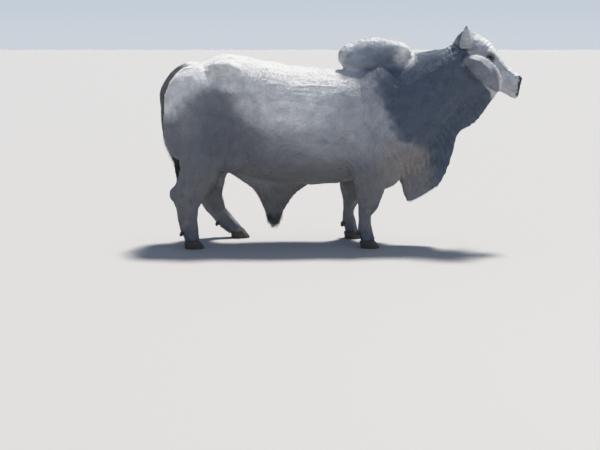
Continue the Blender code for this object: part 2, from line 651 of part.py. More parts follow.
def add_feet():
    for name, side in SIDES.items():
        fore, hind = FORE_FOOT[side], HIND_FOOT[side]
        foot = FORE[-1]
        add_foot(f"foreleg_{name}", fore + foot.x, side * foot.out, fore + FORE_FETLOCK, side)
        fetlock = next(joint for joint in reversed(hind) if joint.z > DEWCLAW_HEIGHT)
        foot = hind[-1]
        add_foot(f"hindleg_{name}", foot.x, side * foot.out, fetlock.x + HIND_FETLOCK, side)


def finish_material(name, colour, roughness):
    material = bpy.data.materials.new(name)
    material.use_nodes = True
    shader = material.node_tree.nodes["Principled BSDF"]
    shader.inputs["Base Color"].default_value = (*colour, 1)
    shader.inputs["Roughness"].default_value = roughness
    shader.inputs["Metallic"].default_value = 0.0
    return material


def paint():
    """Gives each piece its own material."""
    finishes = {
        "horn_": (HORN_COLOUR, 0.45),
        "hoof_": (HOOF_COLOUR, 0.55),
        "dewclaw_": (HOOF_COLOUR, 0.55),
        "eye_": (EYE_COLOUR, 0.05),
        "neck": (COAT_DARK, 0.8),
        "hump": (COAT_DARK, 0.8),
        "dewlap": (COAT_DARK, 0.8),
    }
    for obj in bpy.data.objects:
        found = (finish for key, finish in finishes.items() if obj.name.startswith(key))
        colour, roughness = next(found, (COAT_LIGHT, 0.8))
        obj.data.materials.clear()
        obj.data.materials.append(finish_material(obj.name, colour, roughness))
        obj.data.shade_smooth()
        obj.data.set_sharp_from_angle(angle=math.radians(50))


def centre_on_floor():
    """Moves every piece so that the origin is on the floor under the middle of the bull's box."""
    corners = np.array([v.co for obj in bpy.data.objects for v in obj.data.vertices])
    middle = (corners.min(0) + corners.max(0)) / 2
    shift = Matrix.Translation((-middle[0], -middle[1], -corners[:, 2].min()))
    for obj in bpy.data.objects:
        obj.data.transform(shift)


def sink(host, build, *arguments):
    """Makes room in host for a piece that grows out of it, with a thin gap all round."""
    combine(bpy.data.objects[host], solid("cutter", build, *arguments, CUT), "DIFFERENCE")


def main():
    for obj in list(bpy.data.objects):
        bpy.data.objects.remove(obj)
    part_flesh(fused_flesh())
    sink("trunk", tail)
    for name, side in SIDES.items():
        for build in (horn, eye, ear):
            sink("head", build, side)
            solid(f"{build.__name__}_{name}", build, side)
        sink(f"ear_{name}", horn, side)
    add_feet()
    solid("tail", tail)
    solid("tail_switch", switch)
    sink("tail_switch", tail)
    paint()
    centre_on_floor()


main()
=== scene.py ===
"""Looks of a grey Brahman bull: one skin over its flesh, its short coat, eyes, horns, hooves and long hair.

Metres, +X towards the muzzle, +Y to the bull's left, +Z up. A place on the head is given along the face
from the back of the skull, out to the side, and up from the face's axis.
"""

import math
from collections import namedtuple

import bmesh
import bpy
import numpy as np
from mathutils import Matrix, Vector


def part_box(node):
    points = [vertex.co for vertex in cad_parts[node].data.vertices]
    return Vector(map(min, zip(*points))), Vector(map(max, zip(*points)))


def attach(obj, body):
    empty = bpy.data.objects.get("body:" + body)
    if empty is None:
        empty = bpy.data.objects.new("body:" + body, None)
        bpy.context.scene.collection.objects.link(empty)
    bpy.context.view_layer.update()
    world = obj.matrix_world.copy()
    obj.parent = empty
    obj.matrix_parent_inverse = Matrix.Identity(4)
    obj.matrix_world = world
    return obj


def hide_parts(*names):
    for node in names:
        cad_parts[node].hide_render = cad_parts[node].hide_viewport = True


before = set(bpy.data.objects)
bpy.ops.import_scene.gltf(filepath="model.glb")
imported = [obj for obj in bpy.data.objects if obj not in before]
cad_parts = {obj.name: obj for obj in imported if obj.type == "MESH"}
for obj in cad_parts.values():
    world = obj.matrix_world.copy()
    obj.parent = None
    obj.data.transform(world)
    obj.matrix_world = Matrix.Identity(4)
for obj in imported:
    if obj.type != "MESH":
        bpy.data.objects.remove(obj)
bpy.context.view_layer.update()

# Grain of the meshes
GRAIN = 0.005  # voxel of the fused flesh
PLAIN_SHARE = 0.055  # of the plain body's triangles, how many are kept
FOLDED_SHARE = 0.15  # and where it has folds
RELAX_PASSES = 26
EAR_RELAX_PASSES = 5
RUMP_PASSES = 110
THINNING_STRENGTH = 1000  # how firmly the thinning keeps to its vertices
FOLD_SEEN = 0.0006  # height from which a fold keeps a finer mesh
TUFTS = 288_000
TUFTS_IN_PIECE = 48_000
SWITCH_STRANDS = 2400
WELD = 0.00001

# The head's own frame, from where its eyes are
EYE_PLACE = Vector((0.243, 0.108, 0.082))  # along the face, out, up
HEAD_DROP = math.radians(30)
HEAD_YAW = math.radians(-7.5)
EYE_RADIUS = 0.021
SIDES = {"left": 1, "right": -1}

# The coat's depth over the skin, and where the skin ends inside the hooves
BODY_DEPTH = 0.0040
LEG_DEPTH = 0.0030
FACE_DEPTH = 0.0018
EAR_DEPTH = 0.0010
SKIN_LOW = 0.03

# Colours of the coat, skin and horn; the white, the pale lobe, the ear's pale patch and the tail's grey also
# serve as painted sunlight and shade
WHITE = (0.86, 0.845, 0.81)
SILVER = (0.52, 0.525, 0.54)
ASH = (0.255, 0.26, 0.275)
SLATE = (0.090, 0.118, 0.164)
HUMP_GREY = (0.30, 0.35, 0.41)
THIGH_GREY = (0.150, 0.160, 0.182)
LEG_GREY = (0.178, 0.183, 0.198)
EARTH_GREY = (0.34, 0.305, 0.275)
FACE_GREY = (0.46, 0.48, 0.51)
CHEEK_GREY = (0.56, 0.57, 0.59)
SHEATH_GREY = (0.17, 0.155, 0.150)
TAIL_PAINTED_SHADE = (0.15, 0.15, 0.155)
MUZZLE_BLACK = (0.045, 0.043, 0.045)
PALE_LOBE = (0.84, 0.82, 0.78)
EAR_GREY = (0.255, 0.270, 0.305)
EAR_PAINTED_SUN = (0.84, 0.83, 0.80)
SKIN_SHADE = 0.92  # the skin is this much of the coat's colour
TINT = "tint"  # the meshes' stored colour


def middle(node):
    low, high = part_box(node)
    return (Vector(low) + Vector(high)) / 2


HEAD_TURN = Matrix.Rotation(HEAD_YAW, 4, "Z") @ Matrix.Rotation(HEAD_DROP, 4, "Y")
HEAD = Matrix.Translation(middle("eye_left") - HEAD_TURN @ EYE_PLACE) @ HEAD_TURN
HEAD_AXES = np.array(HEAD_TURN.to_3x3())
HEAD_ORIGIN = np.array(HEAD.translation)


def on_head(points):
    """Points in the head's frame."""
    return (points - HEAD_ORIGIN) @ HEAD_AXES


def from_head(at):
    """Places in the head's frame as points of the scene."""
    return at @ HEAD_AXES.T + HEAD_ORIGIN


def mirrored(at):
    """Places with both sides folded onto the left one."""
    return np.stack([at[:, 0], np.abs(at[:, 1]), at[:, 2]], 1)


def eye_place(side):
    """The middle of one eye, in the head's frame."""
    return EYE_PLACE.x, side * EYE_PLACE.y, EYE_PLACE.z


def eye_distance(at):
    return np.linalg.norm(mirrored(at) - np.array(EYE_PLACE), axis=1)


def ramp(value, start, end):
    """0 at start, 1 at end, smooth between."""
    t = np.clip((value - start) / (end - start), 0, 1)
    return t * t * (3 - 2 * t)


def blob(points, centre, radii):
    """1 at the centre of an ellipsoid, falling smoothly to 0 at its surface, on both sides of the bull."""
    offset = np.abs(points[:, 1]) - abs(centre[1])
    reach = ((points[:, 0] - centre[0]) / radii[0]) ** 2
    reach += (offset / radii[1]) ** 2 + ((points[:, 2] - centre[2]) / radii[2]) ** 2
    return np.clip(1 - reach, 0, 1) ** 1.5


def path_distance(flat, path):
    """Each point's distance to a path, and the share of the path before its nearest place."""
    path = [np.array(place, float) for place in path]
    best = np.full(len(flat), np.inf)
    along = np.zeros(len(flat))
    for index, (start, end) in enumerate(zip(path, path[1:])):
        step = end - start
        t = np.clip((flat - start) @ step / (step @ step), 0, 1)
        distance = np.linalg.norm(flat - start - t[:, None] * step, axis=1)
        nearer = distance < best
        best[nearer] = distance[nearer]
        along[nearer] = (index + t[nearer]) / (len(path) - 1)
    return best, along


def waves(points, size, seed, count=18):
    """Smooth noise whose grain is about size, mostly between -1 and 1."""
    rng = np.random.default_rng(seed)
    total = np.zeros(len(points))
    for _ in range(count):
        way = rng.normal(size=3)
        way *= math.tau * rng.uniform(0.6, 1.5) / (size * np.linalg.norm(way))
        total += np.sin(points @ way + rng.uniform(0, math.tau))
    return total / math.sqrt(count)


def unit(vectors):
    return vectors / np.maximum(np.linalg.norm(vectors, axis=1, keepdims=True), 1e-9)


def mix(colours, other, share):
    return colours + (np.array(other) - colours) * share[:, None]


def read(items, name, width, kind=np.float64):
    flat = np.empty(len(items) * width, kind)
    items.foreach_get(name, flat)
    return flat.reshape(-1, width)


def link(name, mesh):
    piece = bpy.data.objects.new(name, mesh)
    bpy.context.scene.collection.objects.link(piece)
    return piece


def settle(piece):
    """Puts a piece's modifiers into its mesh."""
    graph = bpy.context.evaluated_depsgraph_get()
    mesh = bpy.data.meshes.new_from_object(piece.evaluated_get(graph))
    piece.modifiers.clear()
    spare, piece.data = piece.data, mesh
    bpy.data.meshes.remove(spare)


def from_bmesh(name, bm):
    mesh = bpy.data.meshes.new(name)
    bm.to_mesh(mesh)
    bm.free()
    return link(name, mesh)


def mesh_from_arrays(name, points, corners):
    """A mesh of triangles from arrays of points and of each triangle's corners."""
    mesh = bpy.data.meshes.new(name)
    mesh.vertices.add(len(points))
    mesh.vertices.foreach_set("co", points.astype(np.float32).ravel())
    mesh.loops.add(corners.size)
    mesh.loops.foreach_set("vertex_index", corners.astype(np.int32).ravel())
    mesh.polygons.add(len(corners))
    mesh.polygons.foreach_set("loop_start", np.arange(0, corners.size, 3, dtype=np.int32))
    mesh.polygons.foreach_set("use_smooth", np.ones(len(corners), bool))
    mesh.update(calc_edges=True)
    return mesh


def set_colours(mesh, colours):
    """Stores a linear colour for each vertex."""
    found = mesh.color_attributes.new(TINT, "FLOAT_COLOR", "POINT")
    rgba = np.ones((len(colours), 4), np.float32)
    rgba[:, :3] = np.clip(colours, 0, 1)
    found.data.foreach_set("color", rgba.ravel())


# The skin


# The middle line of a horn on the head, from inside the skull to the tip
HORN_LINE = np.array((
    (0.066, 0.066, 0.024),
    (0.053, 0.080, 0.048),
    (0.033, 0.094, 0.077),
    (0.004, 0.106, 0.124),
    (-0.018, 0.112, 0.160),
    (-0.032, 0.115, 0.186),
    (-0.038, 0.116, 0.199),
))
HORN_RADII = (0.050, 0.056, 0.0555, 0.0385, 0.0245, 0.0125, 0.0050)
HORN_BARE = (0.30, 0.35)  # share of that line where the skin's collar ends
HORN_TUCK = 0.40  # how far the skin above its collar is drawn in, as a share of the way to that line
HORN_REACH = 0.066


def is_flesh(node):
    return not node.startswith(("horn", "hoof", "dewclaw", "eye", "tail_switch"))


def fused_flesh():
    """The flesh nodes, the horns' roots and the eyeballs as one closed mesh."""
    bm = bmesh.new()
    for name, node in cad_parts.items():
        if is_flesh(name) or name.startswith("horn"):
            bm.from_mesh(node.data)
    for side in SIDES.values():
        at = HEAD @ Matrix.Translation(eye_place(side))
        bmesh.ops.create_uvsphere(bm, u_segments=32, v_segments=24, radius=EYE_RADIUS + 0.001, matrix=at)
    bmesh.ops.remove_doubles(bm, verts=bm.verts, dist=WELD)
    skin = from_bmesh("skin", bm)
    fuse = skin.modifiers.new("fuse", "REMESH")
    fuse.mode = "VOXEL"
    fuse.voxel_size = GRAIN
    settle(skin)
    return skin


def drop_bubbles(skin):
    """Removes the tiny closed bubbles that fusing leaves inside thin parts."""
    edges = read(skin.data.edges, "vertices", 2, np.int32)
    label = np.arange(len(skin.data.vertices))
    before = label - 1
    while (label != before).any():
        before = label.copy()
        low = np.minimum(label[edges[:, 0]], label[edges[:, 1]])
        np.minimum.at(label, edges[:, 0], low)
        np.minimum.at(label, edges[:, 1], low)
        label = label[label]
    largest = np.bincount(label).argmax()
    bm = bmesh.new()
    bm.from_mesh(skin.data)
    bm.verts.ensure_lookup_table()
    bmesh.ops.delete(bm, geom=[bm.verts[i] for i in np.flatnonzero(label != largest)], context="VERTS")
    bm.to_mesh(skin.data)
    bm.free()


# The ear's middle line, half width and inner side, by place along the face
EAR_ALONG = (0.074, 0.122, 0.178, 0.251, 0.323, 0.381, 0.419)
EAR_UP = (-0.028, -0.012, -0.006, -0.018, -0.043, -0.076, -0.104)
EAR_HALF = (0.033, 0.052, 0.072, 0.080, 0.071, 0.047, 0.016)
EAR_INSIDE = (0.120, 0.150, 0.178, 0.188, 0.188, 0.184, 0.180)


def ear_rise(at):
    """Height on the ear over its middle line, 1 at its front rim and -1 at its rear one."""
    return (at[:, 2] - np.interp(at[:, 0], EAR_ALONG, EAR_UP)) / np.interp(at[:, 0], EAR_ALONG, EAR_HALF)


def ear_share(points):
    """1 on an ear, 0 elsewhere."""
    at = on_head(points)
    along = at[:, 0]
    inside = np.interp(along, EAR_ALONG, EAR_INSIDE)
    over = np.abs(at[:, 2] - np.interp(along, EAR_ALONG, EAR_UP)) - np.interp(along, EAR_ALONG, EAR_HALF)
    share = ramp(over, 0.018, 0.009) * ramp(np.abs(at[:, 1]), inside - 0.014, inside)
    return share * ramp(along, 0.062, 0.088) * ramp(along, 0.46, 0.44)


def head_share(points):
    """1 on the head in front of the nape, 0 elsewhere."""
    at = on_head(points)
    return ramp(at[:, 0], -0.05, 0.0) * ramp(at[:, 2], -0.20, -0.15)


# The free tail's middle line and thickness, from the rump down
TAIL_LINE = (
    (-1.172, 0.000, 1.382),
    (-1.239, 0.002, 1.362),
    (-1.297, 0.004, 1.315),
    (-1.347, 0.008, 1.250),
    (-1.381, 0.012, 1.172),
    (-1.377, 0.018, 1.070),
    (-1.378, 0.026, 0.935),
    (-1.355, 0.036, 0.822),
    (-1.315, 0.046, 0.730),
    (-1.275, 0.052, 0.640),
)
TAIL_RADII = (0.038, 0.034, 0.031, 0.028, 0.025, 0.022, 0.020, 0.018, 0.017, 0.016)


def tail_share(points):
    """1 on the free tail behind the rump, 0 elsewhere."""
    share = np.zeros(len(points))
    near = points[:, 0] < TAIL_LINE[0][0]
    distance, along = path_distance(points[near], TAIL_LINE)
    radii = np.interp(along * (len(TAIL_LINE) - 1), np.arange(len(TAIL_LINE)), TAIL_RADII)
    share[near] = ramp(distance - radii, 0.014, 0.005) * ramp(along, 0.02, 0.10)
    return share


def leg_share(points):
    """1 on the four legs below the body, 0 elsewhere."""
    out = np.abs(points[:, 1])
    return ramp(points[:, 2], 0.74, 0.58) * ramp(out, 0.09, 0.13) * (1 - tail_share(points))


def neighbour_step(points, ends, degree):
    """From each point to the middle of its neighbours."""
    a, b = ends
    total = np.empty_like(points)
    for axis in range(3):
        total[:, axis] = np.bincount(a, points[b, axis], len(points))
        total[:, axis] += np.bincount(b, points[a, axis], len(points))
    return total / degree - points


def relax(points, edges, passes, share):
    """Smooths facets away without shrinking the form."""
    degree = np.bincount(edges.ravel(), minlength=len(points))[:, None]
    for _ in range(passes):
        for push in (0.6, -0.63):
            points += (push * share) * neighbour_step(points, edges.T, degree)
    return points


# The hip and pin bones: middles and reaches
RUMP_BONES = (((-0.56, 0.21, 1.36), (0.30, 0.24, 0.24)), ((-0.90, 0.13, 1.26), (0.24, 0.20, 0.24)))


def soften_rump(mesh, edges):
    """Lays muscle over the hip and pin bones, moving the skin inwards only."""
    mesh.update()
    points = read(mesh.vertices, "co", 3)
    normals = read(mesh.vertices, "normal", 3)
    share = sum(blob(points, *bone) for bone in RUMP_BONES)
    share = np.clip(share, 0, 1) ** 0.5 * (1 - tail_share(points))
    inside = share > 0
    index = np.cumsum(inside) - 1
    ends = index[edges[inside[edges].all(axis=1)]].T
    near = points[inside]
    pull = 0.6 * share[inside, None]
    degree = np.maximum(np.bincount(ends.ravel(), minlength=len(near)), 1)[:, None]
    moved = near.copy()
    for _ in range(RUMP_PASSES):
        moved += pull * neighbour_step(moved, ends, degree)
    out = ((moved - near) * normals[inside]).sum(axis=1)
    points[inside] += normals[inside] * np.minimum(out, 0.0)[:, None]
    mesh.vertices.foreach_set("co", points.ravel())


def smooth_skin(skin):
    mesh = skin.data
    points = read(mesh.vertices, "co", 3)
    edges = read(mesh.edges, "vertices", 2, np.int32)
    ears = ear_share(points)
    points = relax(points, edges, EAR_RELAX_PASSES, np.ones((len(points), 1)))
    points = relax(points, edges, RELAX_PASSES, (1 - ears)[:, None])
    mesh.vertices.foreach_set("co", points.ravel())
    soften_rump(mesh, edges)
    thin_out(skin, lambda points: ~folded(points), PLAIN_SHARE)
    thin_out(skin, folded, FOLDED_SHARE)


def folded(points):
    """True where the body has folds."""
    flat = points[:, (0, 2)]
    height = np.abs(pleat_heights(points)) + np.abs(folds(flat, BODY_FOLDS))
    height += np.abs(folds(flat, RIGHT_LEG_FOLDS)) + np.abs(folds(flat, LEFT_LEG_FOLDS))
    return height > FOLD_SEEN


def thin_out(skin, chosen, kept):
    """Keeps only a share of the body's triangles where chosen(points) holds, and all those of the head."""
    points = read(skin.data.vertices, "co", 3)
    body = np.maximum(head_share(points), ear_share(points)) < 0.5
    members = np.flatnonzero(body & chosen(points))
    skin.vertex_groups.new(name="thinned").add([int(i) for i in members], 1.0, "REPLACE")
    thin = skin.modifiers.new("thin", "DECIMATE")
    thin.vertex_group = "thinned"
    thin.vertex_group_factor = THINNING_STRENGTH
    thin.use_collapse_triangulate = True
    thin.ratio = 1 - len(members) / len(points) * (1 - kept)
    settle(skin)
    skin.vertex_groups.clear()


def refine(skin, share):
    """Divides the faces where share(points) is over a half."""
    bm = bmesh.new()
    bm.from_mesh(skin.data)
    points = read(skin.data.vertices, "co", 3)
    inside = share(points) > 0.5
    bm.verts.ensure_lookup_table()
    edges = [e for e in bm.edges if inside[e.verts[0].index] and inside[e.verts[1].index]]
    bmesh.ops.subdivide_edges(bm, edges=edges, cuts=1, use_grid_fill=True, smooth=0.6)
    bmesh.ops.triangulate(bm, faces=bm.faces)
    bm.to_mesh(skin.data)
    bm.free()


def near_eye(points):
    return ramp(eye_distance(on_head(points)), 0.042, 0.0378)


def near_muzzle(points):
    return ramp(on_head(points)[:, 0], 0.465, 0.475)


Pleats = namedtuple("Pleats", "centre radii way spacing height wobble")
# Rows of soft ridges: where they are, their reach, the way across them, their spacing and height
PLEATS = (
    Pleats((0.858, 0, 1.50), (0.075, 0.20, 0.17), (-0.95, 0, -0.30), 0.030, 0.0065, 0.4),  # nape
    Pleats((0.80, 0.12, 1.25), (0.16, 0.16, 0.30), (0.96, 0, 0.28), 0.060, 0.0045, 0.9),  # neck behind jaw
    Pleats((0.62, 0.06, 0.62), (0.34, 0.16, 0.24), (0.97, 0, 0.20), 0.042, 0.0110, 0.9),  # brisket
    Pleats((0.90, 0.04, 0.90), (0.30, 0.10, 0.34), (0.80, 0, 0.55), 0.048, 0.0070, 0.9),  # dewlap
    Pleats((0.99, 0.03, 1.06), (0.16, 0.09, 0.16), (0.70, 0, 0.70), 0.036, 0.0045, 0.7),  # throat
    Pleats((-0.36, 0.30, 1.12), (0.36, 0.16, 0.22), (0.10, 0, 1.0), 0.030, 0.0036, 1.2),  # side
    Pleats((0.25, 0.22, 0.98), (0.12, 0.16, 0.34), (1.0, 0, -0.12), 0.055, 0.0036, 1.0),  # shoulder
    Pleats((-0.50, 0.02, 0.36), (0.26, 0.12, 0.18), (0.95, 0, 0.25), 0.034, 0.0050, 0.8),  # sheath
    Pleats((-0.58, 0.22, 0.66), (0.20, 0.16, 0.16), (0.55, 0, -0.83), 0.050, 0.0060, 0.8),  # flank fold
    Pleats((0.17, 0.24, 0.66), (0.14, 0.12, 0.16), (0.72, 0, 0.70), 0.034, 0.0075, 1.1),  # elbow fold
    Pleats((0.42, 0.18, 0.70), (0.16, 0.14, 0.16), (0.90, 0, 0.43), 0.040, 0.0075, 0.8),  # breast fold
    Pleats((-1.17, 0, 1.43), (0.10, 0.08, 0.08), (1.0, 0, 0.3), 0.024, 0.0020, 0.5),  # root of the tail
    Pleats((-0.93, 0, 0.52), (0.14, 0.14, 0.14), (0.2, 0, 1.0), 0.020, 0.0016, 0.8),  # scrotum
)

Fold = namedtuple("Fold", "path width height")
# Single ridges and grooves on the sides of the body, along paths of x and z
BODY_FOLDS = (
    Fold(((0.40, 1.28), (0.36, 1.10), (0.38, 0.92), (0.44, 0.80)), 0.045, -0.0080),  # front of the shoulder
    Fold(((0.02, 1.26), (0.04, 1.05), (0.08, 0.86), (0.11, 0.74)), 0.040, -0.0090),  # behind the shoulder
    Fold(((0.16, 1.30), (0.22, 1.14), (0.30, 1.00)), 0.030, 0.0050),  # ridge of the shoulder blade
    Fold(((0.12, 0.76), (0.20, 0.71), (0.30, 0.70)), 0.020, -0.0050),  # over the elbow
    Fold(((-0.90, 1.36), (-0.72, 1.20), (-0.66, 1.02), (-0.70, 0.84)), 0.050, -0.0080),  # front of the thigh
    Fold(((-1.30, 1.12), (-1.24, 0.92), (-1.20, 0.74)), 0.030, -0.0060),  # groove of the ham
    Fold(((-0.70, 0.78), (-0.58, 0.66), (-0.46, 0.60)), 0.024, 0.0060),  # edge of the flank
    Fold(((-0.86, 1.42), (-1.02, 1.38), (-1.20, 1.30)), 0.035, 0.0040),  # hip to pin bone
    Fold(((-0.66, 1.26), (-0.54, 1.18), (-0.56, 1.02)), 0.050, -0.0060),  # hollow of the flank
)
RIGHT_LEG_FOLDS = (
    Fold(((-1.17, 0.66), (-1.20, 0.58), (-1.235, 0.47)), 0.014, -0.0060),  # in front of the hamstring
    Fold(((-1.20, 0.42), (-1.205, 0.30), (-1.185, 0.13)), 0.010, -0.0045),  # between shank and tendon
    Fold(((-1.13, 0.44), (-1.15, 0.38), (-1.14, 0.32)), 0.018, 0.0045),  # inner face of the hock
    Fold(((-1.02, 0.70), (-1.07, 0.58), (-1.12, 0.48)), 0.022, 0.0050),  # shin muscle
    Fold(((-1.20, 0.18), (-1.15, 0.16), (-1.10, 0.17)), 0.012, 0.0030),  # fetlock
    Fold(((0.10, 0.66), (0.14, 0.56), (0.17, 0.45)), 0.014, -0.0060),  # forearm groove
    Fold(((0.24, 0.62), (0.23, 0.52), (0.21, 0.42)), 0.026, 0.0055),  # forearm muscle
    Fold(((0.20, 0.36), (0.21, 0.30), (0.20, 0.25)), 0.020, 0.0045),  # knee
    Fold(((0.145, 0.32), (0.15, 0.22), (0.155, 0.12)), 0.009, -0.0045),  # behind the shank
    Fold(((0.22, 0.24), (0.215, 0.18), (0.20, 0.13)), 0.010, 0.0028),  # front tendon
)
LEFT_LEG_FOLDS = (
    Fold(((-1.06, 0.60), (-1.09, 0.52), (-1.12, 0.43)), 0.014, -0.0055),  # in front of the hamstring
    Fold(((-1.08, 0.38), (-1.00, 0.27), (-0.92, 0.16)), 0.010, -0.0045),  # between shank and tendon
    Fold(((-1.01, 0.42), (-1.02, 0.36), (-0.98, 0.30)), 0.018, 0.0045),  # inner face of the hock
    Fold(((0.00, 0.60), (0.03, 0.50), (0.05, 0.42)), 0.014, -0.0055),  # forearm groove
    Fold(((0.10, 0.37), (0.11, 0.31), (0.10, 0.26)), 0.020, 0.0045),  # knee
    Fold(((0.045, 0.32), (0.05, 0.22), (0.05, 0.13)), 0.009, -0.0045),  # behind the shank
)
# On the sides of the head, along paths of place along the face and height
HEAD_FOLDS = (
    Fold(((0.198, 0.112), (0.222, 0.126), (0.250, 0.124), (0.274, 0.106)), 0.0075, 0.0045),  # brow
    Fold(((0.208, 0.132), (0.232, 0.144), (0.258, 0.138)), 0.0050, 0.0030),
    Fold(((0.170, 0.100), (0.178, 0.148), (0.200, 0.205)), 0.0065, 0.0042),  # wrinkles of the forehead
    Fold(((0.142, 0.110), (0.152, 0.158), (0.170, 0.215)), 0.0065, 0.0040),
    Fold(((0.112, 0.120), (0.122, 0.160), (0.138, 0.215)), 0.0060, 0.0036),
    Fold(((0.206, 0.150), (0.224, 0.165), (0.240, 0.200)), 0.0060, 0.0034),
    Fold(((0.060, 0.080), (0.074, 0.110), (0.082, 0.150)), 0.0075, 0.0050),  # fold in front of the horn
    Fold(((0.090, 0.050), (0.130, 0.075), (0.180, 0.085), (0.215, 0.100)), 0.0080, -0.0034),  # temple
    Fold(((0.300, 0.110), (0.350, 0.088), (0.400, 0.070), (0.450, 0.066)), 0.0090, 0.0030),  # nose bone
    Fold(((0.214, 0.056), (0.240, 0.048), (0.268, 0.056)), 0.0060, -0.0026),  # under the eye
    Fold(((0.290, 0.070), (0.330, 0.040), (0.380, 0.022), (0.430, 0.020)), 0.010, 0.0030),  # cheek ridge
    Fold(((0.130, -0.020), (0.220, -0.040), (0.300, -0.040)), 0.018, 0.0040),  # edge of the jaw muscle
    Fold(((0.120, -0.110), (0.220, -0.105), (0.320, -0.092), (0.400, -0.082)), 0.012, -0.0045),  # jawbone
    Fold(((0.590, -0.036), (0.545, -0.040), (0.500, -0.045), (0.455, -0.054)), 0.0042, -0.0090),  # mouth
    Fold(((0.580, -0.052), (0.530, -0.056), (0.480, -0.062)), 0.0080, 0.0032),  # lower lip
    Fold(((0.570, -0.020), (0.520, -0.026), (0.465, -0.038)), 0.0080, 0.0030),  # upper lip
    Fold(((0.452, 0.056), (0.468, 0.026), (0.478, -0.008)), 0.0065, -0.0028),  # behind the nostril
)


def folds(flat, rows):
    """Height of ridges and grooves, which fade towards both ends of their paths."""
    total = np.zeros(len(flat))
    for row in rows:
        distance, along = path_distance(flat, row.path)
        taper = ramp(along, -0.12, 0.2) * ramp(along, 1.12, 0.8)
        total += row.height * taper * np.exp(-((distance / row.width) ** 2))
    return total


def pleat_heights(points):
    total = np.zeros(len(points))
    for index, row in enumerate(PLEATS):
        inside = blob(points, row.centre, row.radii)
        near = inside > 0
        some = points[near]
        way = np.array(row.way) / np.linalg.norm(row.way)
        phase = some @ way * math.tau / row.spacing + row.wobble * waves(some, 0.22, 40 + index) * math.pi / 2
        patchy = 0.7 + 0.45 * waves(some, 0.14, 80 + index)
        ridge = (0.5 + 0.5 * np.sin(phase)) ** 1.5 - 0.4
        total[near] += row.height * np.sqrt(inside[near]) * ridge * np.clip(patchy, 0.1, 1.3)
    return total


def coat_depth(points):
    depth = BODY_DEPTH + (LEG_DEPTH - BODY_DEPTH) * leg_share(points)
    depth += (FACE_DEPTH - depth) * head_share(points)
    return depth + (EAR_DEPTH - depth) * ear_share(points)


def tuck_into_horns(skin):
    """Draws the skin in under the bare horn, above a collar at its root."""
    mesh = skin.data
    at = on_head(read(mesh.vertices, "co", 3))
    distance, along = path_distance(mirrored(at), HORN_LINE)
    near = (distance < HORN_REACH) & (along > HORN_BARE[0]) & (at[:, 0] < 0.08)
    steps = np.arange(len(HORN_LINE))
    line = np.stack([np.interp(along * steps[-1], steps, column) for column in HORN_LINE.T], 1)
    line[:, 1] *= np.sign(at[:, 1])
    share = HORN_TUCK * ramp(along, *HORN_BARE)[:, None]
    at[near] += (share * (line - at))[near]
    mesh.vertices.foreach_set("co", from_head(at).ravel())
    mesh.update()


SWELL = 0.0022  # of the body's slow unevenness
DIMPLE = 0.0008  # of the skin's fine unevenness


def sculpt(skin):
    """Insets the skin by the coat's depth and adds its folds."""
    mesh = skin.data
    points = read(mesh.vertices, "co", 3)
    normals = read(mesh.vertices, "normal", 3)
    at = on_head(points)
    flat = points[:, (0, 2)]
    ears, head = ear_share(points), head_share(points)
    on_side = ramp(np.abs(normals[:, 1]), 0.25, 0.6)
    body = (1 - head) * (1 - ears) * (1 - tail_share(points))
    height = body * pleat_heights(points)
    height += body * on_side * folds(flat, BODY_FOLDS)
    on_leg = np.where(points[:, 1] < 0, folds(flat, RIGHT_LEG_FOLDS), folds(flat, LEFT_LEG_FOLDS))
    height += leg_share(points) * on_side * on_leg
    on_face = np.maximum(on_side, ramp(at[:, 2], 0.105, 0.125))
    height += head * (1 - ears) * on_face * folds(at[:, (0, 2)], HEAD_FOLDS)
    height += SWELL * body * waves(points, 0.16, 5) + DIMPLE * waves(points, 0.045, 6) * (1 - 0.6 * head)
    points += normals * (height - coat_depth(points))[:, None]
    points[:, 2] = np.maximum(points[:, 2], SKIN_LOW)
    mesh.vertices.foreach_set("co", points.ravel())
    mesh.update()


# Eyelids: an almond opening across each eyeball
LID_HALF_LENGTH = 0.0195
LID_HALF_HEIGHT = 0.0105
LID_THICKNESS = 0.0030
LID_RIM = 0.0012
LID_CREASE = -0.0022
OPENING_SINK = 0.0055  # how far behind the eyeball's front the skin of the opening lies
LID_TILT = math.radians(-14)  # the inner corner lies lower
EYE_OUTWARD = Vector((0.12, 0.96, 0.18)).normalized()


def eye_axes(side):
    """Along, up and outward directions of one eye, in the head's frame."""
    outward = Vector((EYE_OUTWARD.x, side * EYE_OUTWARD.y, EYE_OUTWARD.z))
    along = Vector((math.cos(LID_TILT), 0, math.sin(LID_TILT)))
    along = (along - along.dot(outward) * outward).normalized()
    up = outward.cross(along) if side > 0 else along.cross(outward)
    return np.array(along), np.array(-up if up.z < 0 else up), np.array(outward)


